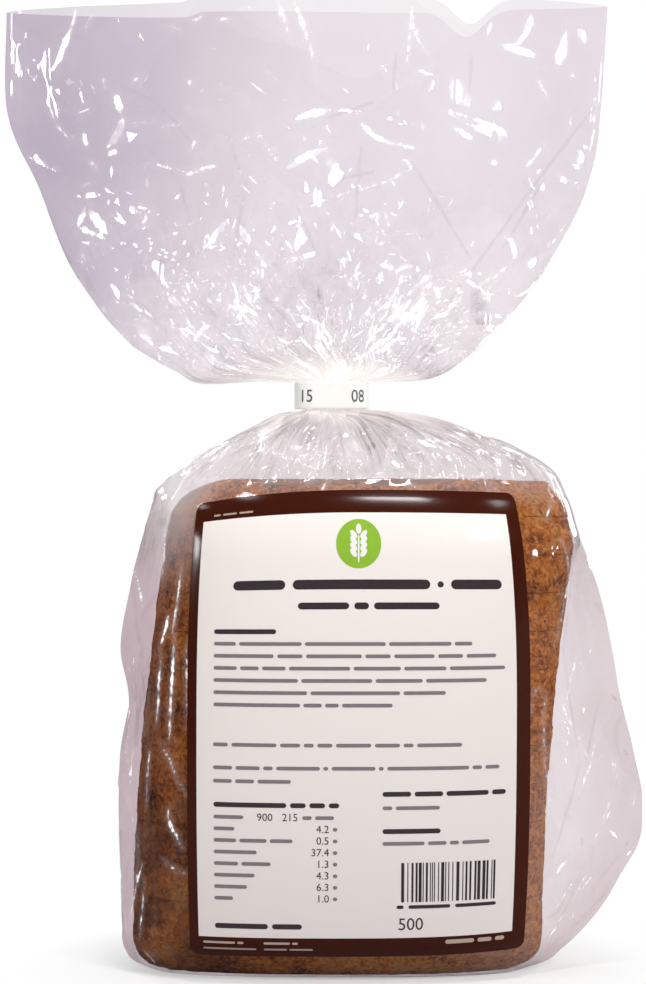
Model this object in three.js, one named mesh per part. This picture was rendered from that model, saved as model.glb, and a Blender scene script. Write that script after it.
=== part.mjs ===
// A sliced loaf in a clear film bag. The bag stands on the loaf's end, a closure band gathers its neck,
// and its open mouth flares above the band. A paper label is stuck on the front.
// Millimetres, +Z up. The label faces -Y, and the origin is the middle of the base.
import * as THREE from "three";
import { ParametricGeometry } from "three/addons/geometries/ParametricGeometry.js";
import { mergeVertices } from "three/addons/utils/BufferGeometryUtils.js";

// Loaf: baked in a tin and sliced across its length, with its domed crust to the front.
const LOAF_FOOT = 0.8;
const LOAF_TOP = 157;
const LOAF_HALF_WIDTH = 66;
const CRUST_RISE = 34.6; // from the middle plane to the top of the dome
const BASE_RISE = 35.4; // from the middle plane to the flat baked base
const CRUST_POWER = 2.5; // of the superellipse that the section follows, 2 being a plain ellipse
const BASE_POWER = 5;
const CRUST_SAG = 0.16; // how much lower the dome is at the loaf's ends
const END_ROUND = 13;
const END_DROP = 0.13;
const LOAF_AXIS_X = 4.5; // of the bottom slice
const LOAF_LEAN = 14; // how far the top slices have slid to the right
const FILM_SLACK = 1;

// Bag up to the neck: height, left edge, right edge.
const BAG_OUTLINE = [
  [0, -56, 65],
  [1.5, -59.5, 70],
  [6, -63.3, 76.5],
  [12, -64.2, 83],
  [22, -64.6, 91],
  [30, -65, 95.5],
  [40, -65.4, 101.3],
  [53, -65.6, 102.6],
  [70, -65, 99.6],
  [87, -62.4, 95.4],
  [102, -65, 92.8],
  [120, -62.3, 88.8],
  [140, -57.5, 81.8],
  [152, -53, 78],
  [160, -46.2, 73],
  [166, -39.3, 65],
  [171, -31, 52.5],
  [175, -21, 39],
  [177.4, -13.5, 26],
  [178.6, -8, 14],
];
const FOOT_SHARE = 0.66; // of the loaf's depth, where the film meets the table
const FOOT_HEIGHT = 12;
const SHOULDER_START = 132;

// Neck, inside the closure band.
const NECK_X = 2.7;
const NECK_BOTTOM = 179;
const NECK_TOP = 188.2;
const NECK_HALF_WIDTH = 10.3;
const NECK_HALF_DEPTH = 6.1;
const PLEATS = 14;
const PLEAT_DEPTH = 0.6;

// Mouth, the flared film above the band: share of the way up, left edge x and z, right edge x and z.
const MOUTH_OUTLINE = [
  [0, -7.6, 188.2, 13, 188.2],
  [0.03, -19, 187.9, 26, 188.2],
  [0.09, -39.5, 187, 35, 189.6],
  [0.15, -48, 191.5, 41, 192.2],
  [0.22, -59.5, 198.2, 47.5, 197.6],
  [0.3, -67.8, 206, 55.5, 204.8],
  [0.5, -81.6, 226.5, 71, 223.8],
  [0.7, -91, 249.5, 84, 248.5],
  [0.87, -101.6, 276, 89, 272],
  [1, -101.6, 306.5, 91.4, 308.5],
];
const MOUTH_HEIGHT = 307.5;
const FAN_POWER = 2.2; // how close to the two edges the rows turn down
const BELLY_GAP = 21; // half the distance between front and back at their widest
const RIM_GAP = 15; // and at the rim
const RUFFLE = 3.2;
const RUFFLE_LENGTH = 46;
const MOUTH_WALL = 1.3;
const MOUTH_FLOOR = 0.3; // where front and back part, as a share of the way up
const NOTCH_X = 47;
const NOTCH_WIDTH = 7.5;
const NOTCH_DEPTH = 11.5;
const RIM_STEP_X = -42;
const RIM_STEP = 2;

// Closure band: a flat strip round the neck, its ends lapped behind.
const BAND_HALF_WIDTH = 11.9;
const BAND_HALF_DEPTH = 7.7;
const BAND_WALL = 0.9;
const BAND_CORNER = 6;
const BAND_BOTTOM = 179.3;
const BAND_HEIGHT = 8.4;
const BAND_LAP = 5.9; // half the length over which the ends lap

// Label: a thin slab that follows the bag's front.
const LABEL_WIDTH = 106.9;
const LABEL_HEIGHT = 144.6;
const LABEL_X = 11.25;
const LABEL_Z = 81;
const LABEL_CORNER = 2.8;
const LABEL_THICK = 0.4;
const LABEL_GAP = 0.35;
const LABEL_COLUMNS = 20;
const LABEL_ROWS = 24;
// How far each corner draws in, across and along, where the label bends back with the bag.
const TOP_LEFT_PULL = [2.8, 4.5];
const TOP_RIGHT_PULL = [5, 1];
const BOTTOM_LEFT_PULL = [0.9, 0];
const BOTTOM_RIGHT_PULL = [1.8, 1.1];
const PULL_POWER = 2.5;

const COLUMNS = 56;
const BODY_ROWS = [
  0, 1, 3, 7, 13, 22, 33, 45, 57, 69, 81, 93, 105, 117, 128, 137, 145, 152, 158, 163, 167.5, 171, 174, 176.4, 178,
  179, 184,
];
const MOUTH_ROWS = [0, 0.03, 0.07, 0.12, 0.18, 0.24, 0.3, 0.4, 0.5, 0.6, 0.7, 0.8, 0.87, 0.94, 1];

const { cos, sin, abs, max, min, sqrt, exp, pow, sign, PI } = Math;
const { lerp, smoothstep, clamp } = THREE.MathUtils;

const bagCurve = curveOf(BAG_OUTLINE);
const mouthCurve = curveOf(MOUTH_OUTLINE);

function curveOf(rows) {
  const at = rows.map((row) => row[0]);
  const values = rows.flatMap((row) => row.slice(1));
  return new THREE.CubicInterpolant(at, values, rows[0].length - 1);
}

// 1 along the loaf, less over its rounded ends.
function endRounding(z) {
  const inside = clamp(min(z - LOAF_FOOT, LOAF_TOP - z) / END_ROUND, 0, 1);
  return 1 - END_DROP * pow(1 - inside, 2);
}

// The bag's section at a height, on the crust's side, -1, or the base's, +1. Over the loaf's end it
// turns from the loaf's section into the bag's own rounded one.
function section(z, side) {
  const [left, right] = bagCurve.evaluate(clamp(z, 0, NECK_BOTTOM));
  const bagHalf = (right - left) / 2;
  const along = clamp((z - LOAF_FOOT) / (LOAF_TOP - LOAF_FOOT), 0, 1);
  const sag = side < 0 ? 1 - CRUST_SAG * pow(abs(2 * along - 1), 2.5) : 1;
  const loafRise = (side < 0 ? CRUST_RISE : BASE_RISE) * sag * endRounding(z) + FILM_SLACK;
  const shoulderRise = lerp(NECK_HALF_DEPTH, 0.94 * loafRise, pow(clamp(bagHalf / LOAF_HALF_WIDTH - 0.13, 0, 1), 0.8));
  const overEnd = smoothstep(z, SHOULDER_START, LOAF_TOP + 4);
  return {
    left,
    right,
    axis: lerp(LOAF_AXIS_X + LOAF_LEAN * along * along, (left + right) / 2, overEnd),
    half: lerp(LOAF_HALF_WIDTH * endRounding(z) + FILM_SLACK, bagHalf, overEnd),
    rise: lerp(loafRise, shoulderRise, overEnd) * lerp(FOOT_SHARE, 1, sqrt(clamp(z / FOOT_HEIGHT, 0, 1))),
    power: lerp(side < 0 ? CRUST_POWER : BASE_POWER, 2, overEnd),
  };
}

// Distance of the film from the middle plane. Past the loaf it runs straight, at a tangent to the
// loaf's section, to the bag's edge.
function bagDepth(x, z, side) {
  const { left, right, axis, half, rise, power } = section(z, side);
  const toEdge = x < axis ? axis - left : right - axis;
  const own = min(half, toEdge);
  const edge = toEdge / own;
  const leaves = pow(edge, -1 / (power - 1));
  const at = min(abs(x - axis) / own, edge);
  const onLoaf = (share) => rise * pow(max(0, 1 - pow(share, power)), 1 / power);
  return at <= leaves ? onLoaf(at) : (onLoaf(leaves) * (edge - at)) / (edge - leaves);
}

// u runs once round the bag from its left edge, over the front, and back behind.
function chord(u) {
  return { across: -cos(2 * PI * u), side: u < 0.5 ? -1 : 1 };
}

function pleat(u, depth) {
  return 1 + (depth / NECK_HALF_DEPTH) * cos(2 * PI * PLEATS * u);
}

function bodyPoint(u, z) {
  const { across, side } = chord(u);
  const { left, right } = section(z, side);
  const x = lerp(left, right, (across + 1) / 2);
  const depth = bagDepth(x, z, side) * pleat(u, PLEAT_DEPTH * smoothstep(z, LOAF_TOP, NECK_BOTTOM));
  return new THREE.Vector3(x, side * depth, z);
}

function neckPoint(u, z) {
  const { across, side } = chord(u);
  const depth = NECK_HALF_DEPTH * sqrt(1 - across * across) * pleat(u, PLEAT_DEPTH);
  return new THREE.Vector3(NECK_X + NECK_HALF_WIDTH * across, side * depth, z);
}

function rimOffset(x) {
  const notch = NOTCH_DEPTH * exp(-pow((x - NOTCH_X) / NOTCH_WIDTH, 2));
  return RIM_STEP * smoothstep(x, RIM_STEP_X - 3, RIM_STEP_X + 3) - notch;
}

// t runs from the neck, 0, to the rim, 1. inset is how far the inner face lies inside the outer one.
function mouthPoint(u, t, inset) {
  const { across, side } = chord(u);
  const [leftX, leftZ, rightX, rightZ] = mouthCurve.evaluate(t);
  const x = lerp(leftX + 3 * inset, rightX - 3 * inset, (across + 1) / 2);
  const edgeZ = across < 0 ? leftZ : rightZ;
  const middleZ = lerp(NECK_TOP, MOUTH_HEIGHT, t) + rimOffset(x) * smoothstep(t, 0.7, 1);
  const z = lerp(middleZ, edgeZ, pow(abs(across), FAN_POWER));
  const belly = lerp(NECK_HALF_DEPTH, BELLY_GAP, sin((min(1, t / 0.6) * PI) / 2));
  const gap = lerp(belly, RIM_GAP, smoothstep(t, 0.6, 1)) - inset;
  const flat = lerp(0.5, 0.7, t);
  const ruffle = RUFFLE * smoothstep(t, 0.1, 0.8) * sin((2 * PI * x) / RUFFLE_LENGTH) * (1 - pow(across, 4));
  const depth = gap * pow(1 - across * across, flat) * pleat(u, PLEAT_DEPTH * (1 - smoothstep(t, 0, 0.5)));
  return new THREE.Vector3(x, side * depth + ruffle, z);
}

// A closed solid from rings of points, each a function of u, and a single point at either end.
function closedLoft(start, rings, end) {
  const rows = [() => start, ...rings, () => end];
  const last = rows.length - 1;
  const fill = (u, v, target) => target.copy(rows[Math.round(v * last)](u === 1 ? 0 : u));
  return welded(new ParametricGeometry(fill, COLUMNS, last));
}

// Vertices merged by place, and the triangles that this leaves without area dropped.
function welded(geometry) {
  geometry.deleteAttribute("normal");
  geometry.deleteAttribute("uv");
  const merged = mergeVertices(geometry, 1e-4);
  const index = merged.index.array;
  const kept = [];
  for (let i = 0; i < index.length; i += 3) {
    const [a, b, c] = index.slice(i, i + 3);
    if (a !== b && b !== c && c !== a) kept.push(a, b, c);
  }
  merged.setIndex(kept);
  merged.computeVertexNormals();
  return merged;
}

function bagGeometry() {
  const { left, right } = section(0, -1);
  const baseMiddle = new THREE.Vector3((left + right) / 2, 0, 0);
  const floorMiddle = new THREE.Vector3(NECK_X, 0, lerp(NECK_TOP, MOUTH_HEIGHT, MOUTH_FLOOR - 0.04));
  const insideRows = MOUTH_ROWS.filter((t) => t >= MOUTH_FLOOR).reverse();
  const rings = [
    ...BODY_ROWS.map((z) => (u) => (z < NECK_BOTTOM ? bodyPoint(u, z) : neckPoint(u, z))),
    ...MOUTH_ROWS.map((t) => (u) => mouthPoint(u, t, 0)),
    ...insideRows.map((t) => (u) => mouthPoint(u, t, MOUTH_WALL)),
    (u) => mouthPoint(u, MOUTH_FLOOR, MOUTH_WALL).lerp(floorMiddle, 0.5),
  ];
  return closedLoft(baseMiddle, rings, floorMiddle);
}

// s and h run from -1 to 1 across and up the label.
function cornerPull(s, h) {
  const upper = s < 0 ? TOP_LEFT_PULL : TOP_RIGHT_PULL;
  const lower = s < 0 ? BOTTOM_LEFT_PULL : BOTTOM_RIGHT_PULL;
  return h > 0 ? upper : lower;
}

function labelPoint(s, h, lift) {
  const intoCorner = max(0, LABEL_CORNER - ((1 - abs(h)) * LABEL_HEIGHT) / 2);
  const cornerInset = LABEL_CORNER - sqrt(LABEL_CORNER * LABEL_CORNER - intoCorner * intoCorner);
  const [inward, along] = cornerPull(s, h);
  const bend = s * s * pow(abs(h), PULL_POWER);
  const x = LABEL_X + s * (LABEL_WIDTH / 2 - cornerInset) - sign(s) * inward * bend;
  const z = LABEL_Z + (h * LABEL_HEIGHT) / 2 - sign(h) * along * bend;
  return new THREE.Vector3(x, -bagDepth(x, z, -1) - LABEL_GAP - lift, z);
}

function labelGeometry() {
  const slab = new THREE.BoxGeometry(2, 2, 1, LABEL_COLUMNS, LABEL_ROWS, 1);
  const place = slab.getAttribute("position");
  for (let i = 0; i < place.count; i++) {
    // The sine sets the rows closer together where the corners are rounded.
    const h = sin((place.getY(i) * PI) / 2);
    place.setXYZ(i, ...labelPoint(place.getX(i), h, place.getZ(i) > 0 ? LABEL_THICK : 0));
  }
  return welded(slab);
}

// lap is the height of the step that the lapped end makes on the back face.
function bandOutline(a, b, r, lap) {
  const shape = new THREE.Shape();
  shape.moveTo(-a + r, -b);
  shape.lineTo(a - r, -b);
  shape.absarc(a - r, -b + r, r, -PI / 2, 0, false);
  shape.lineTo(a, b - r);
  shape.absarc(a - r, b - r, r, 0, PI / 2, false);
  if (lap > 0) {
    shape.lineTo(BAND_LAP, b + lap);
    shape.lineTo(-BAND_LAP, b + lap);
  }
  shape.lineTo(-a + r, b);
  shape.absarc(-a + r, b - r, r, PI / 2, PI, false);
  shape.lineTo(-a, -b + r);
  shape.absarc(-a + r, -b + r, r, PI, 1.5 * PI, false);
  return shape;
}

function bandGeometry() {
  const outline = bandOutline(BAND_HALF_WIDTH, BAND_HALF_DEPTH, BAND_CORNER, BAND_WALL);
  const inner = (size) => size - BAND_WALL;
  outline.holes.push(bandOutline(inner(BAND_HALF_WIDTH), inner(BAND_HALF_DEPTH), inner(BAND_CORNER), 0));
  return welded(new THREE.ExtrudeGeometry(outline, { depth: BAND_HEIGHT, bevelEnabled: false, curveSegments: 8 }));
}

function named(name, geometry, material) {
  const mesh = new THREE.Mesh(geometry, material);
  mesh.name = name;
  return mesh;
}

const filmAndBread = new THREE.MeshStandardMaterial({ color: 0x9a6238, roughness: 0.35, metalness: 0 });
const labelPaper = new THREE.MeshStandardMaterial({ color: 0xf4efec, roughness: 0.4, metalness: 0 });
const bandPlastic = new THREE.MeshStandardMaterial({ color: 0xfffdf2, roughness: 0.5, metalness: 0 });

const pack = new THREE.Group();
pack.add(named("bag", bagGeometry(), filmAndBread));
pack.add(named("label", labelGeometry(), labelPaper));
const band = named("closure_band", bandGeometry(), bandPlastic);
band.position.set(NECK_X, 0, BAND_BOTTOM);
pack.add(band);

export default pack;
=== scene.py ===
"""Looks for the loaf in its clear film bag: crumpled film, sliced bread, label, closure band and studio.

Lengths are in millimetres until MM turns them into Blender's metres. The label faces -Y, and u runs
once round the bag from its left edge, over the front and back behind.
"""

import math

import bmesh
import bpy
import numpy as np
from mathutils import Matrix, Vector


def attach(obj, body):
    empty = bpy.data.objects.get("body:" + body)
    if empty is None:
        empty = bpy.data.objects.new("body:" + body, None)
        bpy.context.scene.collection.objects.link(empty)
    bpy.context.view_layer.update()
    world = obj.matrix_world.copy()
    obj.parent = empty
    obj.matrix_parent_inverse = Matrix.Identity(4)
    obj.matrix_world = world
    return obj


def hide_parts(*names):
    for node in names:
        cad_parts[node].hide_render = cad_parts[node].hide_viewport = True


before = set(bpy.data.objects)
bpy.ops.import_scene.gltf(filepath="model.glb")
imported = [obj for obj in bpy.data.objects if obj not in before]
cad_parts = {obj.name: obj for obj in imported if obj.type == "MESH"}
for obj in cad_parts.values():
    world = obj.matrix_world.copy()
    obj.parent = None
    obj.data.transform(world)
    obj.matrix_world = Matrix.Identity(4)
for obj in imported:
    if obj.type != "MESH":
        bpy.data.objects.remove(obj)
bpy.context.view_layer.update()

MM = 0.001

# The loaf and the bag, with the values of the part's source.
LOAF_FOOT = 0.8
LOAF_TOP = 157.0
LOAF_HALF_WIDTH = 66.0
CRUST_RISE = 34.6
BASE_RISE = 35.4
CRUST_POWER = 2.5
BASE_POWER = 5.0
CRUST_SAG = 0.16
END_ROUND = 13.0
END_DROP = 0.13
LOAF_AXIS_X = 4.5
LOAF_LEAN = 14.0
FILM_SLACK = 1.0
FOOT_SHARE = 0.66
FOOT_HEIGHT = 12.0
SHOULDER_START = 132.0
NECK_X = 2.7
NECK_BOTTOM = 179.0
NECK_TOP = 188.2
NECK_HALF_WIDTH = 10.3
NECK_HALF_DEPTH = 6.1
MOUTH_HEIGHT = 307.5
FAN_POWER = 2.2
BELLY_GAP = 21.0
RIM_GAP = 15.0
NOTCH_X = 47.0
NOTCH_WIDTH = 7.5
NOTCH_DEPTH = 11.5
RIM_STEP_X = -42.0
RIM_STEP = 2.0

# Height, left edge and right edge of the bag up to its neck.
BAG_OUTLINE = np.array([
    [0, -56, 65], [1.5, -59.5, 70], [6, -63.3, 76.5], [12, -64.2, 83], [22, -64.6, 91],
    [30, -65, 95.5], [40, -65.4, 101.3], [53, -65.6, 102.6], [70, -65, 99.6], [87, -62.4, 95.4],
    [102, -65, 92.8], [120, -62.3, 88.8], [140, -57.5, 81.8], [152, -53, 78], [160, -46.2, 73],
    [166, -39.3, 65], [171, -31, 52.5], [175, -21, 39], [177.4, -13.5, 26], [178.6, -8, 14],
])
# Share of the way up the mouth, then x and z of its left edge and of its right edge.
MOUTH_OUTLINE = np.array([
    [0, -7.6, 188.2, 13, 188.2], [0.03, -19, 187.9, 26, 188.2], [0.09, -39.5, 187, 35, 189.6],
    [0.15, -48, 191.5, 41, 192.2], [0.22, -59.5, 198.2, 47.5, 197.6], [0.3, -67.8, 206, 55.5, 204.8],
    [0.5, -81.6, 226.5, 71, 223.8], [0.7, -91, 249.5, 84, 248.5], [0.87, -101.6, 276, 89, 272],
    [1, -101.6, 306.5, 91.4, 308.5],
])

# The film stays inside this box, given by its lowest and highest corners.
FILM_BOX = (-102.06, -36.34, 0.0), (102.42, 36.4, 309.5)
# Film as it was before it was gathered: a flat tube.
FILM_WIDTH = 205.0
MOUTH_LENGTH = 122.0
FILM_COLUMNS = 480
BODY_FILM_ROWS = 172
MOUTH_FILM_ROWS = 190
# A wave that runs across the front and the back of the mouth alike.
FILM_RUFFLE = 1.3
FILM_RUFFLE_LENGTH = 88.0

# Diamond folds: count, range along the film, and ranges of half length, half width and height.
SHOULDER_DIAMONDS = (70, (140, 178), (10, 34), (3, 8), (0.5, 1.7))
UPRIGHT_DIAMONDS = (150, (0, 150), (9, 34), (1.6, 4), (0.2, 0.8))
SMALL_DIAMONDS = (200, (0, 150), (5, 16), (2, 6), (0.1, 0.5))
FIN_DIAMONDS = (60, (8, 150), (16, 46), (2, 5), (0.3, 0.9))
LOW_MOUTH_DIAMONDS = (200, (0, 84), (6, 24), (3, 8), (0.4, 1.6))
WIDE_MOUTH_DIAMONDS = (46, (20, 125), (20, 56), (7, 18), (0.3, 1.0))
NARROW_MOUTH_DIAMONDS = (40, (40, 125), (24, 70), (1.4, 2.8), (0.15, 0.45))

WHITE = (1.0, 1.0, 1.0, 1.0)
FILM_IOR = 1.5
# Gloss where the film hangs free and where it clings to the loaf.
GLOSS_BY_CLING = (1.1, 0.2)
# Tints of the film over what is behind it: single, lying double low down and high up, seen edge on,
# darkened by painted shade along folds, and gathered at the neck.
FILM_SINGLE = (0.955, 0.92, 0.935, 1.0)
FILM_DOUBLE_BELOW = (0.72, 0.63, 0.66, 1.0)
FILM_DOUBLE_ABOVE = (0.70, 0.645, 0.725, 1.0)
FILM_EDGE_ON = (0.78, 0.69, 0.75, 1.0)
FILM_FOLD_SHADE = (0.74, 0.66, 0.71, 1.0)
FILM_GATHERED = (0.95, 0.92, 0.86, 1.0)
# Colour of the film's own haze, and of that at the neck.
FILM_BODY = (0.96, 0.91, 0.93, 1.0)
FILM_BODY_NECK = (0.98, 0.95, 0.91, 1.0)
# How bright the glints painted on creases are outside and inside, and the painted glow of them and the neck.
PAINTED_GLINT_SHINE = (0.92, 0.45)
PAINTED_GLINT_GLOW = 0.62
PAINTED_NECK_GLOW = 0.4
# Flat facets: turn, cells in each metre, and tilt.
FACETS = (
    ((0.5, 0.9, 0.4), (95.0, 66.0, 48.0), 0.8),
    ((1.1, 0.3, 0.8), (210.0, 160.0, 120.0), 0.55),
)
# Streaks and veils along the film: cells round and along it in each metre.
STREAK_CELLS = (330.0, 13.0, 0.0)
VEIL_CELLS = (110.0, 9.0, 0.0)
# Slivers painted in as glints: lean, cells across and along in each metre, greatest share, size.
PAINTED_GLINT_SLIVERS = (
    (0.3, (520.0, 210.0, 1.0), 0.13, 0.5),
    (1.3, (430.0, 190.0, 1.0), 0.1, 0.5),
    (2.3, (640.0, 120.0, 1.0), 0.12, 0.45),
)
# Glints painted along creases on the front: x and z of both ends, half widths at them, bow to the side.
MOUTH_GLINT_CREASES = (
    (-78, 307, -86, 287, 0.6, 1.6, 0.6),
    (-73, 305, -76, 299, 0.5, 0.8, 0.0),
    (-87, 287, -83, 287, 0.5, 0.5, 0.0),
    (-49, 300, -45, 298, 0.5, 0.6, 0.3),
    (-42, 301, -38, 303, 0.5, 0.5, -0.3),
    (-33, 301, -29, 302, 0.5, 0.6, 0.3),
    (-14, 307, -10, 294, 1.4, 0.2, 0.0),
    (-9, 307, -2, 281, 1.4, 0.3, 1.0),
    (-70, 284, -69, 282, 0.8, 0.5, 0.0),
    (-58, 284, -61, 282, 0.8, 0.4, 0.0),
    (-43, 282, -41, 281, 1.1, 0.6, 0.0),
    (-66, 279, -64, 273, 1.1, 1.6, 0.0),
    (-78, 273, -74, 274, 0.6, 0.7, 0.0),
    (-63, 271, -68, 262, 1.6, 1.4, 0.6),
    (-68, 259, -65, 261, 1.1, 1.0, 0.0),
    (-87, 276, -81, 265, 0.6, 0.6, -1.0),
    (-76, 267, -75, 262, 1.0, 1.1, 0.0),
    (-63, 269, -53, 270, 0.4, 0.4, 0.0),
    (-50, 268, -44, 268, 0.5, 0.4, 0.0),
    (-54, 256, -43, 253, 0.6, 0.7, 0.3),
    (-43, 252, -33, 255, 0.8, 0.8, 0.3),
    (-41, 259, -40, 264, 0.5, 0.6, 0.3),
    (-52, 269, -48, 264, 0.4, 0.4, 0.3),
    (-21, 267, -14, 256, 0.4, 0.6, -0.6),
    (-25, 263, -22, 264, 0.5, 0.6, 0.0),
    (-74, 258, -71, 254, 0.8, 0.5, 0.0),
    (-78, 250, -74, 251, 0.5, 0.6, -0.6),
    (-75, 244, -78, 237, 1.0, 1.1, 0.0),
    (-74, 242, -68, 234, 1.9, 1.3, 0.0),
    (-78, 237, -69, 233, 1.1, 1.0, 0.0),
    (-56, 241, -58, 237, 0.7, 0.8, 1.3),
    (-30, 238, -39, 227, 1.6, 0.6, 0.0),
    (-38, 230, -33, 230, 0.8, 0.8, 0.0),
    (-26, 236, -23, 230, 1.6, 1.3, 0.0),
    (-21, 228, -18, 223, 1.3, 0.8, 0.0),
    (-49, 236, -40, 237, 0.4, 0.5, 0.3),
    (-9, 269, 2, 272, 1.1, 1.6, 0.6),
    (-11, 254, 1, 260, 1.4, 1.4, 0.6),
    (-45, 218, -33, 220, 0.4, 0.5, 0.0),
    (-29, 220, -27, 211, 1.0, 0.6, 0.6),
    (-25, 219, -21, 210, 1.0, 0.8, -0.6),
    (-31, 212, -20, 208, 0.9, 1.0, 0.6),
    (-20, 219, -22, 211, 0.6, 0.8, 0.0),
    (-25, 208, -20, 203, 1.0, 0.5, 0.0),
    (-62, 213, -57, 210, 1.3, 0.8, 0.0),
    (-57, 211, -53, 207, 0.8, 0.6, 0.0),
    (-46, 202, -53, 198, 1.0, 0.5, 0.0),
    (-52, 199, -45, 196, 1.4, 0.6, 0.3),
    (-45, 211, -42, 205, 0.6, 0.6, 0.0),
    (-41, 200, -35, 206, 1.0, 1.0, 1.0),
    (-35, 205, -28, 201, 0.5, 0.6, -0.6),
    (-33, 200, -24, 198, 0.4, 0.5, 0.3),
    (-17, 205, -20, 199, 0.6, 0.5, 0.3),
    (28, 306, 26, 287, 1.1, 0.6, 0.6),
    (28, 302, 35, 287, 0.8, 0.5, -0.6),
    (29, 286, 35, 284, 1.0, 0.6, 0.0),
    (35, 284, 32, 278, 0.8, 0.5, 1.0),
    (57, 294, 68, 291, 1.6, 1.3, 0.0),
    (61, 294, 66, 304, 1.0, 1.6, -1.0),
    (78, 301, 75, 289, 0.5, 2.6, 0.0),
    (82, 300, 84, 296, 1.9, 1.3, 0.0),
    (68, 284, 72, 277, 0.8, 0.4, 0.0),
    (79, 286, 80, 285, 1.0, 0.6, 0.0),
    (87, 276, 88, 277, 0.6, 0.6, 0.0),
    (12, 268, 22, 262, 1.3, 0.8, -1.0),
    (22, 262, 30, 260, 0.8, 0.6, 0.3),
    (25, 257, 28, 254, 1.1, 0.6, 0.6),
    (-6, 241, 9, 247, 0.4, 0.6, 0.3),
    (9, 247, 27, 254, 0.6, 0.4, -1.0),
    (40, 268, 47, 264, 0.6, 1.2, 0.0),
    (53, 257, 55, 256, 1.0, 1.0, 0.0),
    (71, 264, 64, 255, 0.5, 0.9, 0.3),
    (57, 234, 61, 227, 0.8, 1.4, 1.3),
    (12, 234, 34, 234, 0.3, 0.3, -0.3),
    (45, 220, 53, 214, 1.0, 0.8, 0.6),
    (59, 225, 48, 218, 0.6, 0.8, 0.6),
    (61, 215, 68, 220, 0.6, 1.0, -1.0),
    (17, 224, 23, 222, 1.1, 1.0, 1.0),
    (23, 222, 29, 224, 1.1, 1.0, 0.6),
    (25, 221, 21, 213, 1.0, 0.6, 0.6),
    (34, 221, 26, 214, 1.4, 0.8, 0.0),
    (26, 212, 9, 198, 1.0, 0.6, 1.0),
    (23, 214, 11, 204, 0.7, 0.5, -0.6),
    (31, 214, 18, 198, 0.8, 0.4, 1.0),
    (32, 217, 28, 200, 1.4, 0.5, 0.6),
    (36, 208, 43, 210, 1.1, 1.3, 0.6),
    (37, 203, 34, 198, 1.0, 0.6, 0.0),
    (43, 201, 35, 196, 0.5, 0.7, 0.3),
    (5, 225, 9, 226, 0.7, 1.0, 0.3),
    (9, 214, 7, 206, 0.8, 0.5, 0.6),
    (4, 217, -0, 208, 0.6, 0.4, 0.3),
)
# Glints painted along creases on the body's front, listed the same way.
BODY_GLINT_CREASES = (
    (-20, 172, -21, 164, 0.8, 0.5, 0.6),
    (-27, 164, -18, 167, 0.4, 0.5, -0.6),
    (-38, 167, -47, 160, 0.5, 0.3, 0.6),
    (-45, 161, -52, 150, 0.4, 0.6, 0.6),
    (57, 167, 69, 162, 0.6, 0.4, 0.3),
    (72, 161, 76, 155, 0.7, 0.5, 0.3),
    (31, 169, 41, 167, 0.4, 0.6, 0.3),
    (21, 162, 24, 160, 0.7, 1.0, 0.0),
    (75, 150, 72, 144, 0.4, 0.5, 0.0),
    (-52, 114, -56, 103, 1.1, 0.5, 0.3),
    (-47, 129, -50, 108, 0.6, 0.9, 0.3),
    (-49, 108, -50, 75, 0.9, 0.6, 0.0),
    (-55, 102, -56, 79, 0.8, 0.8, 0.3),
    (-44, 105, -43, 79, 0.6, 0.6, 0.0),
    (-56, 144, -57, 124, 0.6, 0.7, 0.3),
    (-59, 73, -60, 54, 0.6, 0.7, 0.0),
    (-54, 74, -47, 63, 0.8, 0.5, 1.0),
    (-47, 63, -43, 59, 0.5, 0.4, 0.0),
    (-50, 54, -47, 46, 0.5, 1.0, -1.0),
    (-47, 46, -45, 42, 1.0, 0.4, 0.0),
    (-52, 38, -43, 34, 0.5, 0.4, -0.6),
    (-60, 31, -62, 12, 0.4, 0.6, 0.3),
    (-60, 7, -56, 3, 0.6, 0.4, 0.6),
    (-53, 2, -45, -1, 0.6, 0.4, 0.3),
    (84, 131, 77, 105, 0.4, 0.5, 1.0),
    (89, 105, 80, 79, 0.5, 0.4, -0.6),
    (80, 89, 86, 76, 0.8, 0.4, -1.0),
    (86, 76, 91, 67, 0.4, 0.4, 0.0),
    (96, 79, 86, 57, 0.4, 0.5, 0.6),
    (75, 54, 73, 89, 0.4, 0.4, 1.3),
    (99, 57, 90, 39, 0.5, 0.4, 0.6),
    (78, 32, 84, 38, 0.8, 0.5, 0.6),
    (86, 31, 78, 20, 0.5, 0.4, 0.3),
    (91, 34, 85, 22, 0.6, 0.4, 0.3),
    (83, 20, 76, 10, 0.5, 0.6, 0.3),
    (88, 25, 93, 31, 0.4, 0.6, 0.0),
    (68, 89, 71, 91, 0.7, 0.5, 0.6),
    (66, 82, 68, 86, 0.4, 0.6, 0.0),
    (79, 121, 86, 115, 0.4, 0.4, 0.3),
)

FAR_FROM_CREASE = -2.0
# Small creases strewn over the film, painted as glints: count, range across, range up, whether they lean
# towards the neck, spread of the lean, and ranges of length and half width.
BODY_FRONT_STREWN = (
    (26, (-50, 58), (150, 168), True, 0.3, (3, 15), (0.3, 0.7)),
    (24, (-90, -66), (4, 150), False, 0.25, (6, 30), (0.4, 0.8)),
    (10, (78, 112), (10, 130), False, 0.5, (6, 22), (0.4, 0.6)),
)
BODY_REAR_STREWN = (
    (24, (-50, 58), (150, 168), True, 0.3, (3, 15), (0.3, 0.8)),
    (60, (-110, 110), (4, 140), False, 0.6, (4, 22), (0.25, 0.8)),
)
MOUTH_FRONT_STREWN = (
    (150, (-58, 62), (192, 220), True, 0.4, (2, 10), (0.3, 0.85)),
    (26, (-90, 90), (226, 280), True, 1.2, (1.5, 10), (0.25, 0.6)),
    (34, (-44, 50), (198, 216), True, 0.25, (6, 20), (0.5, 1.3)),
)
MOUTH_REAR_STREWN = (
    (80, (-62, 62), (192, 232), True, 0.45, (1.5, 12), (0.25, 0.9)),
    (40, (-90, 90), (230, 290), True, 1.2, (2, 14), (0.25, 0.8)),
)
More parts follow.
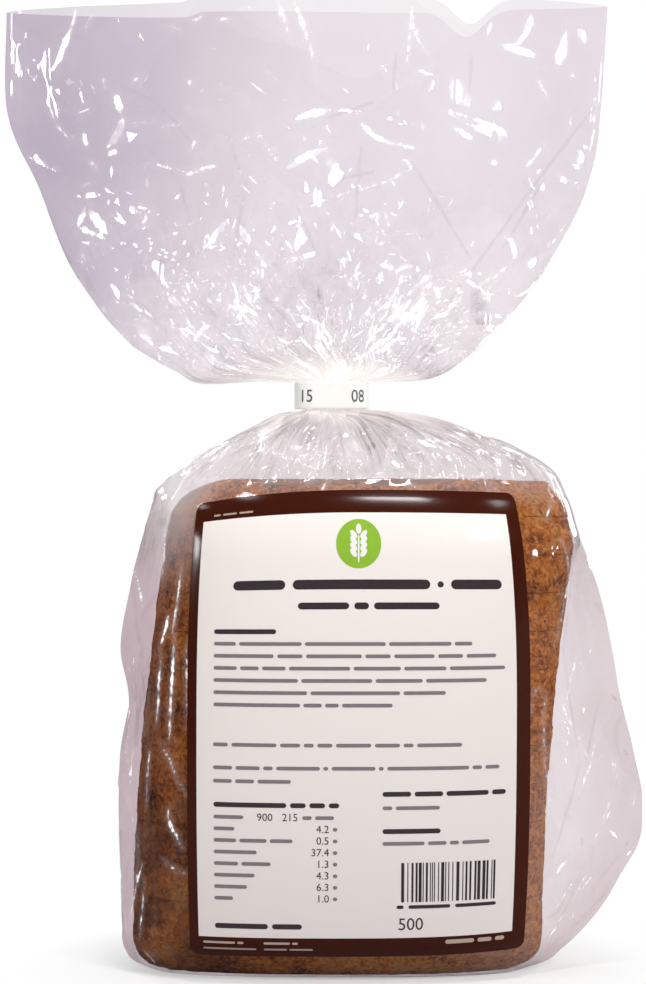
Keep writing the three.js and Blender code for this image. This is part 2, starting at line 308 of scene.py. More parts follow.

# Faint painted shade along folds in the front of the film: x and z of the places that each one passes.
FOLD_HALF_WIDTHS = (0.45, 0.35)
MOUTH_FOLDS = (
    ((-90, 252), (-78, 239), (-73, 226)),
    ((-56, 262), (-45, 250), (-41, 235)),
    ((-29, 262), (-25, 250)),
    ((-66, 283), (-52, 275), (-38, 259)),
    ((2, 270), (16, 275)),
    ((12, 262), (10, 237)),
    ((-8, 242), (-2, 227)),
    ((23, 291), (22, 277)),
    ((87, 276), (61, 242), (46, 221), (31, 201)),
    ((69, 250), (57, 230)),
    ((28, 256), (47, 226)),
    ((47, 291), (46, 278)),
    ((-24, 250), (-28, 227)),
    ((2, 250), (16, 253)),
)
BODY_FOLDS = (
    ((86, 131), (81, 102), (87, 67), (76, 38)),
    ((76, 86), (73, 54)),
    ((96, 86), (89, 67)),
    ((89, 34), (79, 12)),
    ((-59, 131), (-61, 105)),
    ((-60, 60), (-59, 28)),
    ((66, 131), (71, 105), (68, 79)),
)

# Slices, cut level and stacked along the bag.
SLICES = 13
SLICE_GAP = 0.05
SLICE_SHIFT = 0.02
HEEL_ROUND = 5.5
FOOT_SPREAD = 0.6
SLICE_COLUMNS = 260
# Rings of points up a slice's crust, close together at its rims, and from the middle of a cut face out.
CRUST_RINGS = (0, 0.005, *np.linspace(0.08, 0.92, 11), 0.995, 1)
FACE_RINGS = (0.04, 0.35, 0.65, 0.86, 0.96)
FILM_ROOM = 1.9

# Closure band.
BAND_HALF_WIDTH = 11.9
BAND_HALF_DEPTH = 7.7
BAND_WALL = 0.9
BAND_CORNER = 6.0
BAND_BOTTOM = 179.3
BAND_HEIGHT = 8.4

# Label.
LABEL_WIDTH = 106.9
LABEL_HEIGHT = 144.6
LABEL_X = 11.25
LABEL_Z = 81.0
LABEL_CORNER = 2.8
LABEL_THICK = 0.4
LABEL_GAP = 0.35
# How far each corner draws in, across and along.
TOP_LEFT_PULL = (2.8, 4.5)
TOP_RIGHT_PULL = (5.0, 1.0)
BOTTOM_LEFT_PULL = (0.9, 0.0)
BOTTOM_RIGHT_PULL = (1.8, 1.1)
PULL_POWER = 2.5
BORDER_LEFT = 3.0
BORDER_RIGHT = 4.5
BORDER_TOP = 7.0
BORDER_BOTTOM = 6.2
# Where the print is measured from, by the label's middle.
PRINT_LEFT = -51.65
PRINT_TOP = 72.6
# Lines of dashes: left end, distance down, right end, height, and the words' lengths in letters.
HEADING_LINES = (
    (12.2, 29.4, 96.7, 3.0, (5, 13, 0.6, 5)),
    (32.6, 36.0, 76.5, 2.1, (7, 2, 9)),
    (6.5, 43.9, 25.9, 1.5, (13,)),
    (6.5, 97.4, 45.4, 1.5, (14, 3, 3, 2)),
    (58.7, 93.9, 97.2, 1.5, (6, 6, 9, 3)),
    (58.7, 105.4, 76.7, 1.5, (11,)),
    (6.5, 135.1, 33.8, 1.6, (9, 5)),
)
BORDER_LINES = (
    (2.6, 140.4, 15.5, 0.7, (10, 2)),
    (2.6, 142.4, 19.5, 0.6, (20,)),
    (21.8, 140.4, 32.6, 0.7, (9, 2)),
    (21.8, 142.4, 37.2, 0.6, (7, 7)),
    (78.6, 140.4, 98.0, 1.3, (6, 3, 2)),
    (4.6, 5.6, 17.8, 0.6, (2, 4, 4)),
)
# The first paragraph's lines all start at the margin: right end, and the words' lengths.
MARGIN = 6.5
FINE_HEIGHT = 1.15
PARAGRAPH_TOP = 47.7
PARAGRAPH_STEP = 3.78
PARAGRAPH = (
    (86.6, (5, 14, 18, 14, 4)),
    (94.1, (12, 5, 11, 5, 8, 5, 6)),
    (96.9, (5, 4, 5, 13, 10, 9, 12)),
    (91.0, (18, 15, 10, 13)),
    (78.2, (20, 19, 9)),
    (61.8, (19, 4, 3, 11)),
)
# Left end, distance down, right end, and the words' lengths.
FINE_LINES = (
    (6.4, 78.9, 83.3, (3, 9, 4, 2, 3, 7, 5, 2, 9)),
    (6.4, 86.0, 95.1, (4, 5, 2, 9, 1, 9, 1, 17, 2, 3)),
    (6.4, 90.1, 30.5, (4, 4, 7)),
    (58.7, 98.2, 76.4, (2, 9)),
    (58.7, 109.2, 92.2, (9, 4, 2, 6)),
)
# Table, by rows: the name's right end, the words' lengths in it, and the value.
TABLE_TOP = 101.2
TABLE_STEP = 3.6
TABLE_VALUE_END = 42.3
TABLE_DIGITS = 3.3
TABLE_ROWS = (
    (13.0, (5,), "4.2"),
    (31.0, (5, 6, 5), "0.5"),
    (19.9, (9,), "37.4"),
    (24.2, (5, 6), "1.3"),
    (19.2, (8,), "4.3"),
    (16.8, (7,), "6.3"),
    (12.4, (4,), "1.0"),
)
# Striped field: its left, right and top edges, its height, and the narrowest stripe.
STRIPES_LEFT = 64.5
STRIPES_RIGHT = 95.1
STRIPES_TOP = 115.2
STRIPES_HEIGHT = 12.3
STRIPE = 0.32
# How far the inks stand over the paper.
INK_LIFT = 0.05
SECOND_INK_LIFT = 0.09
BADGE_RIGHT = 51.4
BADGE_DOWN = 16.9
BADGE_HALF_SIZE = (7.0, 7.6)

# Studio, in metres.
FLOOR_HALF_SIZE = 8.0
ROOM_LIGHT = 0.3
SOFTBOX_DISTANCE = 1.3
SOFTBOX_AIM = 0.17
# Soft boxes: name, degrees round the bag and up, width, height and radiance.
SOFTBOXES = (
    ("key", 34, 31, 0.18, 0.18, 78),
    ("left", -66, 14, 0.11, 0.19, 56),
    ("above", 15, 66, 0.24, 0.12, 68),
    ("low_right", 60, 2, 0.08, 0.12, 40),
    ("back_left", -145, 25, 0.15, 0.26, 20),
    ("back_right", 130, 14, 0.15, 0.26, 16),
)
# Boxes that only glint in the film: degrees round the bag and up.
GLINTS = ((-72, 44), (-58, 64), (8, 44), (62, 56), (150, 38), (-150, 34))
GLINT_SIZE = 0.11
GLINT_RADIANCE = 20

# The floor lies this far below the bag, in millimetres.
FLOOR_Z = -0.2
# Camera: its focal length in millimetres, and its place in metres.
CAMERA_LENS = 95.5
CAMERA_DISTANCE = 0.838
CAMERA_HEIGHT = 0.1526


def srgb(r, g, b):
    """A colour read off as 0 to 255, in the linear values that shaders take."""
    def linear(c):
        c /= 255
        return c / 12.92 if c <= 0.04045 else ((c + 0.055) / 1.055) ** 2.4
    return linear(r), linear(g), linear(b), 1.0


# Colours of the bread, the paper and the band: place on the noise and shade, or the shade alone.
CRUST_SHADES = (
    (0.33, srgb(120, 60, 24)),
    (0.42, srgb(212, 120, 44)),
    (0.52, srgb(246, 150, 54)),
    (0.68, srgb(246, 172, 86)),
)
GRIT_SHADE = (0.5, 0.4, 0.32, 1.0)
DEEP_BAKE_AND_SHADE = (0.2, 0.14, 0.13, 1.0)
CRUMB_SHADES = ((0.3, srgb(104, 62, 32)), (0.55, srgb(150, 100, 58)), (0.75, srgb(178, 128, 80)))
CRUMB_HOLE_SHADE = srgb(66, 36, 18)
SEED_SHADES = ((0.35, srgb(88, 46, 20)), (0.7, srgb(150, 100, 50)))
PAPER_SHADED_BELOW = srgb(233, 224, 221)
PAPER_LIT_ABOVE = srgb(246, 239, 233)
BAND_SHADES = (srgb(255, 255, 251), srgb(254, 252, 245))


def lerp(a, b, share):
    return a + (b - a) * share


def smoothstep(x, low, high):
    share = np.clip((x - low) / (high - low), 0, 1)
    return share * share * (3 - 2 * share)


def smooth_curve(table, at):
    """Columns 1 and on of the table, read at values of its column 0 on a smooth curve."""
    at = np.clip(np.asarray(at, float), table[0, 0], table[-1, 0])
    knots, values = table[:, 0], table[:, 1:]
    slopes = np.gradient(values, knots, axis=0)
    i = np.clip(np.searchsorted(knots, at, side="right") - 1, 0, len(knots) - 2)
    span = (knots[i + 1] - knots[i])[..., None]
    s = (at - knots[i])[..., None] / span
    blend = [2 * s**3 - 3 * s**2 + 1, s**3 - 2 * s**2 + s, 3 * s**2 - 2 * s**3, s**3 - s**2]
    curve = blend[0] * values[i] + blend[1] * span * slopes[i] + blend[2] * values[i + 1]
    curve = curve + blend[3] * span * slopes[i + 1]
    return np.moveaxis(curve, -1, 0)


# Shape of the loaf and of the bag around it.

def end_rounding(z):
    inside = np.clip(np.minimum(z - LOAF_FOOT, LOAF_TOP - z) / END_ROUND, 0, 1)
    return 1 - END_DROP * (1 - inside) ** 2


def loaf_rise(z, side):
    along = np.clip((z - LOAF_FOOT) / (LOAF_TOP - LOAF_FOOT), 0, 1)
    sag = np.where(side < 0, 1 - CRUST_SAG * np.abs(2 * along - 1) ** 2.5, 1)
    return np.where(side < 0, CRUST_RISE, BASE_RISE) * sag * end_rounding(z)


def loaf_axis(z):
    along = np.clip((z - LOAF_FOOT) / (LOAF_TOP - LOAF_FOOT), 0, 1)
    return LOAF_AXIS_X + LOAF_LEAN * along * along


def section(z, side):
    """The bag's edges at a height, then the axis, half width, rise and power of its round part."""
    left, right = smooth_curve(BAG_OUTLINE, np.clip(z, 0, NECK_BOTTOM))
    bag_half = (right - left) / 2
    rise = loaf_rise(z, side) + FILM_SLACK
    narrowing = np.clip(bag_half / LOAF_HALF_WIDTH - 0.13, 0, 1) ** 0.8
    shoulder = lerp(NECK_HALF_DEPTH, 0.94 * rise, narrowing)
    over_end = smoothstep(z, SHOULDER_START, LOAF_TOP + 4)
    foot = lerp(FOOT_SHARE, 1, np.sqrt(np.clip(z / FOOT_HEIGHT, 0, 1)))
    return (
        left,
        right,
        lerp(loaf_axis(z), (left + right) / 2, over_end),
        lerp(LOAF_HALF_WIDTH * end_rounding(z) + FILM_SLACK, bag_half, over_end),
        lerp(rise, shoulder, over_end) * foot,
        lerp(np.where(side < 0, CRUST_POWER, BASE_POWER), 2, over_end),
    )


def bag_depth(x, z, side):
    """Distance of the film from the middle plane: round over the loaf, then straight to the bag's edge."""
    left, right, axis, half, rise, power = section(z, side)
    to_edge = np.where(x < axis, axis - left, right - axis)
    own = np.minimum(half, to_edge)
    edge = to_edge / own
    leaves = edge ** (-1 / (power - 1))
    at = np.minimum(np.abs(x - axis) / own, edge)

    def on_loaf(share):
        return rise * np.maximum(0, 1 - share**power) ** (1 / power)

    straight = on_loaf(leaves) * (edge - at) / np.maximum(edge - leaves, 1e-6)
    return np.where(at <= leaves, on_loaf(np.minimum(at, 1)), straight)


def rim_offset(x):
    notch = NOTCH_DEPTH * np.exp(-(((x - NOTCH_X) / NOTCH_WIDTH) ** 2))
    return RIM_STEP * smoothstep(x, RIM_STEP_X - 3, RIM_STEP_X + 3) - notch


def around(count):
    """For each column round the bag: across from -1 to 1, side, and place on the flat tube's girth."""
    u = np.arange(count) / count
    across = -np.cos(2 * math.pi * u)
    side = np.where(u < 0.5, -1.0, 1.0)
    front = FILM_WIDTH * (across + 1) / 2
    return across, side, np.where(side < 0, front, 2 * FILM_WIDTH - front)


# Folds and creases, as heights over the flat film.

def diamonds(s, t, rng, kind, lean=None):
    """Sharp-edged diamonds, each with four plane faces, strewn over the film.

    s runs round the flat tube and t along it. Upright ones lean by up to about lean.
    """
    count, reach, length, width, height = kind
    total = np.zeros(np.broadcast(s, t).shape)
    girth = 2 * FILM_WIDTH
    for _ in range(count):
        centre_s = rng.uniform(0, girth)
        centre_t = rng.uniform(*reach)
        angle = rng.uniform(0, math.pi) if lean is None else math.pi / 2 + rng.normal(0, lean)
        half_length = rng.uniform(*length)
        half_width = rng.uniform(*width)
        rise = rng.uniform(*height) * rng.choice([-1, 1])
        ds = (s - centre_s + girth / 2) % girth - girth / 2
        dt = t - centre_t
        along = ds * math.cos(angle) + dt * math.sin(angle)
        beside = -ds * math.sin(angle) + dt * math.cos(angle)
        total += rise * np.maximum(0, 1 - np.abs(along) / half_length - np.abs(beside) / half_width)
    return total


def pleats(s, spacing, rng):
    """Uneven sharp pleats round the tube, from -1 to 1."""
    girth = 2 * FILM_WIDTH
    count = int(girth / spacing)
    knots = (np.arange(count) + rng.uniform(-0.3, 0.3, count)) * girth / count
    heights = np.where(np.arange(count) % 2, 1, -1) * rng.uniform(0.35, 1, count)
    return np.interp(s % girth, knots, heights, period=girth)


def strewn(rng, neck_z, kinds):
    """Creases strewn over areas of the film, leaning towards the neck at that height, or upright."""
    rows = []
    for count, across, up, to_neck, spread, length, width in kinds:
        for _ in range(count):
            x, z = rng.uniform(*across), rng.uniform(*up)
            lean = math.atan2(neck_z - z, NECK_X - x) if to_neck else math.pi / 2
            lean += rng.normal(0, spread)
            reach = lerp(*length, rng.uniform(0, 1) ** 2)
            half = lerp(*width, rng.uniform(0, 1) ** 2)
            end = x + reach * math.cos(lean), z + reach * math.sin(lean)
            rows.append((x, z, *end, half, half * rng.uniform(0.3, 1), reach * rng.normal(0, 0.08)))
    return rows


def fold_rows(folds):
    """Folds as straight creases, each from one place that a fold passes to the next."""
    return [(*a, *b, *FOLD_HALF_WIDTHS, 0.0) for places in folds for a, b in zip(places, places[1:])]


def crease_depth(u, v, creases):
    """How deep inside a crease each point lies, below zero outside."""
    deep = np.full(np.broadcast(u, v).shape, FAR_FROM_CREASE)
    u, v = u + 0 * deep, v + 0 * deep
    for x0, z0, x1, z1, start, end, bow in creases:
        length = math.hypot(x1 - x0, z1 - z0)
        near = np.hypot(u - (x0 + x1) / 2, v - (z0 + z1) / 2) < length / 2 + 4
        du, dv = u[near] - x0, v[near] - z0
        along = (du * (x1 - x0) + dv * (z1 - z0)) / length**2
        share = np.clip(along, 0, 1)
        beside = (dv * (x1 - x0) - du * (z1 - z0)) / length - bow * 4 * share * (1 - share)
        blunt = np.minimum(1, 0.45 + 2.4 * np.minimum(share, 1 - share))
        reach = lerp(start, end, share) * blunt - np.hypot(beside, (along - share) * length)
        deep[near] = np.maximum(deep[near], reach)
    return deep


def from_middle_line(points):
    """How far each point of a tube lies from the middle of its own side, along the film, to the right."""
    step = np.linalg.norm(np.roll(points, -1, axis=1) - points, axis=2)
    walked = np.cumsum(step, axis=1) - step
    quarter, half = FILM_COLUMNS // 4, FILM_COLUMNS // 2
    front = walked - walked[:, [quarter]] + points[:, [quarter], 0]
    back = walked[:, [half + quarter]] - walked + points[:, [half + quarter], 0]
    return np.where(np.arange(FILM_COLUMNS) < half, front, back)


def mesh_object(name, points, faces, materials, smooth=True):
    mesh = bpy.data.meshes.new(name)
    mesh.from_pydata(np.asarray(points) * MM, [], faces)
    for material in materials:
        mesh.materials.append(material)
    mesh.polygons.foreach_set("use_smooth", [smooth] * len(mesh.polygons))
    mesh.validate()
    piece = bpy.data.objects.new(name, mesh)
    bpy.context.scene.collection.objects.link(piece)
    return piece


def tube_faces(rows, columns):
    """Quads of a grid that closes round on itself, pointing out where rows go up and u goes round."""
    row = np.arange(rows - 1)[:, None] * columns
    here = np.arange(columns)[None, :]
    after = (here + 1) % columns
    quads = np.stack([row + here, row + after, row + columns + after, row + columns + here], axis=-1)
    return quads.reshape(-1, 4).tolist()


def sheet_faces(rows, columns):
    row = np.arange(rows - 1)[:, None] * columns
    here = np.arange(columns - 1)[None, :]
    quads = np.stack([row + here, row + here + 1, row + columns + here + 1, row + columns + here], axis=-1)
    return quads.reshape(-1, 4).tolist()


def flatten(piece, s, t):
    """A UV map of the film laid flat: s round the tube and t along it, in metres."""
    layer = piece.data.uv_layers.new(name="flat")
    rows, columns = len(t), len(s)
    after = np.append(s[1:], 2 * FILM_WIDTH)
    u = np.broadcast_to(np.stack([s, after, after, s], axis=1), (rows - 1, columns, 4))
    v = np.broadcast_to(np.stack([t[:-1], t[:-1], t[1:], t[1:]], axis=1)[:, None], (rows - 1, columns, 4))
    flat = np.zeros((len(layer.data), 2), np.float32)
    flat[: u.size, 0], flat[: v.size, 1] = u.ravel() * MM, v.ravel() * MM
    layer.data.foreach_set("uv", flat.ravel())


def set_attribute(piece, name, values):
    layer = piece.data.attributes.new(name, "FLOAT", "POINT")
    layer.data.foreach_set("value", np.asarray(values, np.float32).ravel())


def finished(piece, node):
    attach(piece, "root")
    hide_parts(node)
    return piece


# Film.

def label_cover(x, z):
    """1 under the label and close round it, 0 away from it."""
    inside_x = (LABEL_WIDTH / 2 + 1.5 - np.abs(x - LABEL_X)) / 5
    inside_z = (LABEL_HEIGHT / 2 + 1.5 - np.abs(z - LABEL_Z)) / 5
    return np.clip(np.minimum(inside_x, inside_z) + 1, 0, 1)


def push_out(points, heights):
    """Moves a tube's grid of points along its normals."""
    around_step = np.roll(points, -1, axis=1) - np.roll(points, 1, axis=1)
    up_step = np.gradient(points, axis=0)
    normals = np.cross(around_step, up_step)
    normals /= np.maximum(np.linalg.norm(normals, axis=2, keepdims=True), 1e-6)
    return points + normals * heights[..., None]


def body_film(material):
    rng = np.random.default_rng(41)
    across, side, s = around(FILM_COLUMNS)
    z = np.concatenate([
        np.linspace(0, 12, 14, endpoint=False),
        np.linspace(12, 140, BODY_FILM_ROWS - 74, endpoint=False),
        np.linspace(140, 178.6, 52, endpoint=False),
        np.linspace(178.6, 184, 8),
    ])
    zz, aa, ss = z[:, None], across[None, :], side[None, :]
    left, right, *_ = section(zz, ss)
    x = lerp(left, right, (aa + 1) / 2)
    depth = bag_depth(x, zz, ss)
    in_neck = smoothstep(zz, 176, NECK_BOTTOM)
    neck_x = NECK_X + (NECK_HALF_WIDTH - 0.5) * aa
    neck_depth = (NECK_HALF_DEPTH - 0.5) * np.sqrt(1 - aa * aa)
    x = lerp(x, neck_x, in_neck)
    y = ss * lerp(depth, neck_depth, in_neck)
    points = np.stack([x, y, np.broadcast_to(zz, x.shape)], axis=2)

    walked = from_middle_line(points)
    girth = s[None, :] + 0 * zz
    near_neck = smoothstep(zz, 146, 172)
    drift = 5 * np.sin(zz / 9) * (1 - in_neck)
    fold = 1.5 * near_neck * (1 - 0.6 * in_neck) * pleats(girth + drift, 17, rng)
    fold += 0.7 * smoothstep(zz, 155, 178) * (1 - 0.4 * in_neck) * pleats(girth - drift, 6.5, rng)
    shoulder = smoothstep(zz, 136, 158) * (1 - in_neck)
    fold += shoulder * diamonds(girth, zz, rng, SHOULDER_DIAMONDS)
    from_middle = x - (left + right) / 2
    sides = smoothstep(np.abs(from_middle), 44, 62) * (1 - shoulder)
    fin = smoothstep(from_middle, 58, 72)
    upright = diamonds(girth, zz, rng, UPRIGHT_DIAMONDS, lean=0.22)
    any_way = diamonds(girth, zz, rng, SMALL_DIAMONDS)
    back = (ss > 0) * (1 - sides) * (1 - shoulder)
    in_fin = diamonds(girth, zz, rng, FIN_DIAMONDS, lean=0.3)
    fold += sides * (1 - 0.8 * fin) * (upright + any_way) + back * (0.5 * upright + 0.5 * any_way)
    fold += fin * (1 - shoulder) * in_fin
    hugging = 1 - smoothstep(np.abs(from_middle), 60, 76)
    fold = np.where(fold < 0, fold * (1 - 0.75 * hugging * (1 - shoulder)), fold)
    covered = label_cover(x, zz) * (ss < 0)
    fold *= (1 - covered) * smoothstep(zz, 0, 4)
    points = np.clip(push_out(points, fold), *FILM_BOX)

    gather = smoothstep(zz, 140, 176)
    crumple = np.clip(0.2 + 0.8 * smoothstep(zz, 146, 166) + 0.2 * sides, 0, 1) * (1 - covered)
    crumple *= 1 - 0.85 * fin * (1 - shoulder)
    left_strip = smoothstep(-from_middle, 60, 68)
    # Darker tint on the left strip: film lying double, and painted shade away from the key light.
    tone = lerp(lerp(0.2, 0.36, fin) + 0.65 * left_strip, 0.04, gather)
    upper_left = (1 - smoothstep(x, -50, -28)) * smoothstep(zz, 118, 150)
    haze = 0.004 + 0.03 * fin + 0.16 * smoothstep(zz, 146, 158) + 0.3 * smoothstep(zz, 166, 182)
    haze += 0.4 * upper_left * np.where(ss < 0, 1, left_strip)
    on_side = sides * (1 - 0.5 * fin) * lerp(0.3, 0.06, smoothstep(x, -20, 30))
    streak = np.clip(0.05 + on_side + 0.7 * smoothstep(zz, 144, 162), 0, 1) * (1 - covered)
    cling = (1 - fin) * lerp(0.8, 0.25, smoothstep(x, -20, 30)) * (1 - smoothstep(zz, 110, 146))
    haze += 0.07 * smoothstep(x, 30, 60) * (1 - fin) * (1 - smoothstep(zz, 50, 90))
    front = list(BODY_GLINT_CREASES) + strewn(rng, NECK_BOTTOM, BODY_FRONT_STREWN)
    rear = strewn(rng, NECK_BOTTOM, BODY_REAR_STREWN)
    crease = np.where(ss < 0, crease_depth(walked, zz, front), crease_depth(walked, zz, rear))
    spark = 0.4 * smoothstep(zz, 152, 166) + 0.2 * fin * (1 - smoothstep(zz, 60, 110))
    looks = {
        "crumple": crumple,
        "tone": tone,
        "haze": haze,
        "streak": streak,
        "glue": smoothstep(zz, 172, 182),
        "spark": spark * (1 - covered),
        "crease": crease,
        "fold": np.where(ss < 0, crease_depth(walked, zz, fold_rows(BODY_FOLDS)), FAR_FROM_CREASE),
        "cling": cling,
    }
    base = points[:1]
    middle = base.mean(axis=1, keepdims=True)
    shares = (0.02, 0.25, 0.5, 0.75)
    points = np.concatenate([middle + (base - middle) * share for share in shares] + [points])
    faces = tube_faces(len(points), FILM_COLUMNS) + [list(range(FILM_COLUMNS))[::-1]]
    piece = mesh_object("film_body", points.reshape(-1, 3), faces, [material])
    for name, values in looks.items():
        values = values + np.zeros((len(z), FILM_COLUMNS))
        set_attribute(piece, name, np.concatenate([values[:1]] * len(shares) + [values]))
    flatten(piece, s, np.concatenate([60 * np.array(shares) - 60, z]))
    return finished(piece, "bag")


def mouth_film(material):
    rng = np.random.default_rng(7)
    across, side, s = around(FILM_COLUMNS)
    t = np.linspace(0, 1, MOUTH_FILM_ROWS) ** 1.25
    tt, aa, ss = t[:, None], across[None, :], side[None, :]
    left_x, left_z, right_x, right_z = smooth_curve(MOUTH_OUTLINE, tt)
    x = lerp(left_x, right_x, (aa + 1) / 2)
    edge_z = np.where(aa < 0, left_z, right_z)
    middle_z = lerp(NECK_TOP, MOUTH_HEIGHT, tt) + rim_offset(x) * smoothstep(tt, 0.7, 1)
    z = lerp(middle_z, edge_z, np.abs(aa) ** FAN_POWER)
    belly = lerp(NECK_HALF_DEPTH - 0.6, BELLY_GAP, np.sin(np.minimum(1, tt / 0.6) * math.pi / 2))
    gap = lerp(belly, RIM_GAP, smoothstep(tt, 0.6, 1))
    flat = lerp(0.5, 0.7, tt)
    wave = np.sin(2 * math.pi * x / FILM_RUFFLE_LENGTH) * (1 - aa**4)
    ruffle = FILM_RUFFLE * smoothstep(tt, 0.1, 0.8) * wave
    y = ss * gap * (1 - aa * aa) ** flat + ruffle
    points = np.stack([x, y, z], axis=2)

    walked = from_middle_line(points)
    girth = s[None, :] + 0 * tt
    along = tt * MOUTH_LENGTH
    drift = 4 * np.sin(along / 11) * smoothstep(along, 4, 20)
    near = 1 - smoothstep(along, 10, 62)
    fold = 1.9 * near * smoothstep(along, -6, 16) * pleats(girth + drift, 19, rng)
    fold += 0.9 * (1 - smoothstep(along, 4, 30)) * pleats(girth - drift, 7.5, rng)
    spread = smoothstep(along, 3, 22)
    low = 1 - smoothstep(along, 34, 90)
    fold += spread * low * diamonds(girth, along, rng, LOW_MOUTH_DIAMONDS)
    fold += spread * diamonds(girth, along, rng, WIDE_MOUTH_DIAMONDS)
    fold += spread * diamonds(girth, along, rng, NARROW_MOUTH_DIAMONDS)
    fold *= 1 - 0.6 * np.abs(aa) ** 10
    points = np.clip(push_out(points, fold), *FILM_BOX)

    front = strewn(rng, NECK_TOP, MOUTH_FRONT_STREWN)
    rear = strewn(rng, NECK_TOP, MOUTH_REAR_STREWN)
    on_front = np.maximum(crease_depth(x, z, MOUTH_GLINT_CREASES), crease_depth(walked, z, front))
    crease = np.where(ss < 0, on_front, crease_depth(walked, z, rear))

    to_left = 1 - smoothstep(x, -95, 5)
    crumple = np.clip(0.1 + low * (0.6 + 0.4 * spread), 0, 1)
    looks = {
        "crumple": np.maximum(crumple, 0.3 * to_left),
        # Darker towards the left: painted shade on the side away from the key light.
        "tone": 0.12 + 0.62 * to_left * smoothstep(along, 5, 60),
        "haze": 0.015 + 0.03 * low + 0.3 * (1 - smoothstep(along, 2, 16)),
        "streak": 0.03 + 0.77 * (1 - smoothstep(along, 8, 45)),
        "glue": 1 - smoothstep(along, 2, 12),
        "spark": 0.08 + 0.92 * (1 - smoothstep(along, 34, 78)),
        "crease": crease,
        "fold": np.where(ss < 0, crease_depth(x, z, fold_rows(MOUTH_FOLDS)), FAR_FROM_CREASE),
        "cling": 0.0,
    }
    faces = tube_faces(MOUTH_FILM_ROWS, FILM_COLUMNS)
    piece = mesh_object("film_mouth", points.reshape(-1, 3), faces, [material])
    for name, values in looks.items():
        set_attribute(piece, name, values + 0 * girth)
    flatten(piece, s, t * MOUTH_LENGTH)
    return finished(piece, "bag")


# Loaf.

def slice_points(index, rng):
    """One slice: rings from the middle of its lower face, over its crust, to the middle of its upper face."""
    pitch = (LOAF_TOP - LOAF_FOOT) / SLICES
    low = LOAF_FOOT + index * pitch + SLICE_GAP / 2
    high = low + pitch - SLICE_GAP
    turn = np.arange(SLICE_COLUMNS) / SLICE_COLUMNS * 2 * math.pi
    side = np.where(np.sin(turn) < 0, -1.0, 1.0)
    power = np.where(side < 0, CRUST_POWER, BASE_POWER)
    shift = rng.uniform(-SLICE_SHIFT, SLICE_SHIFT, 2)

    def ring(z, share):
        into = np.clip(1 - np.minimum(z - LOAF_FOOT, LOAF_TOP - z) / HEEL_ROUND, 0, 1)
        inset = HEEL_ROUND * (1 - math.sqrt(1 - into**2))
        half = LOAF_HALF_WIDTH * lerp(end_rounding(z), 1, FOOT_SPREAD * smoothstep(z, 60, 20)) - 0.4 - inset
        rise = loaf_rise(z, side) - 0.6 - inset
        reach = (np.abs(np.cos(turn)) ** power + np.abs(np.sin(turn)) ** power) ** (-1 / power)
        x = loaf_axis(z) + shift[0] + half * np.cos(turn) * reach
        y = shift[1] + rise * np.sin(turn) * reach
        left, right, *_ = section(np.full_like(x, z), side)
        x = np.clip(x, left + 3, right - 3)
        room = np.maximum(bag_depth(x, np.full_like(x, z), side) - FILM_ROOM, 0.5)
        y = np.clip(y, -room, room)
        middle = x.mean()
        waves = 1.4 + 1.0 * np.sin(3 * turn + 0.6) + 0.5 * np.sin(8 * turn)
        level = z - waves * smoothstep(z, LOAF_TOP - 12, LOAF_TOP)
        return np.stack([middle + (x - middle) * share, y * share, level], axis=1)

    under = [ring(low, share) for share in FACE_RINGS]
    upper = [ring(high, share) for share in reversed(FACE_RINGS)]
    crust = [ring(lerp(low, high, k), 1) for k in CRUST_RINGS]
    return np.stack(under + crust + upper)


def loaf(materials):
    rng = np.random.default_rng(13)
    points, faces, crumb = [], [], []
    start = 0
    for index in range(SLICES):
        rings = slice_points(index, rng)
        rows = len(rings)
        points.append(rings.reshape(-1, 3))
        quads = np.array(tube_faces(rows, SLICE_COLUMNS)) + start
        faces.extend(quads.tolist())
        faces.append([start + c for c in range(SLICE_COLUMNS)][::-1])
        faces.append([start + (rows - 1) * SLICE_COLUMNS + c for c in range(SLICE_COLUMNS)])
        on_face = np.zeros((rows, SLICE_COLUMNS))
        on_face[: len(FACE_RINGS)] = 1
        on_face[-len(FACE_RINGS) :] = 1
        crumb.append(on_face)
        start += rows * SLICE_COLUMNS
    piece = mesh_object("bread_slices", np.concatenate(points), faces, materials)
    set_attribute(piece, "crumb", np.concatenate([c.ravel() for c in crumb]))
    return piece


# Label.

def label_surface(x_label, z_label, lift=0.0):
    """Places a point of the flat label, measured from its middle, on the bag's front."""
    s = x_label / (LABEL_WIDTH / 2)
    h = z_label / (LABEL_HEIGHT / 2)
    bend = s * s * np.abs(h) ** PULL_POWER
    corners = (TOP_LEFT_PULL, TOP_RIGHT_PULL, BOTTOM_LEFT_PULL, BOTTOM_RIGHT_PULL)
    inward, along = np.array(corners).T[:, np.where(h > 0, 0, 2) + (s > 0)]
    x = LABEL_X + x_label - np.sign(s) * inward * bend
    z = LABEL_Z + z_label - np.sign(h) * along * bend
    y = -bag_depth(x, z, np.full_like(x, -1.0)) - LABEL_GAP - LABEL_THICK - lift
    return np.stack([x, y, z], axis=-1)


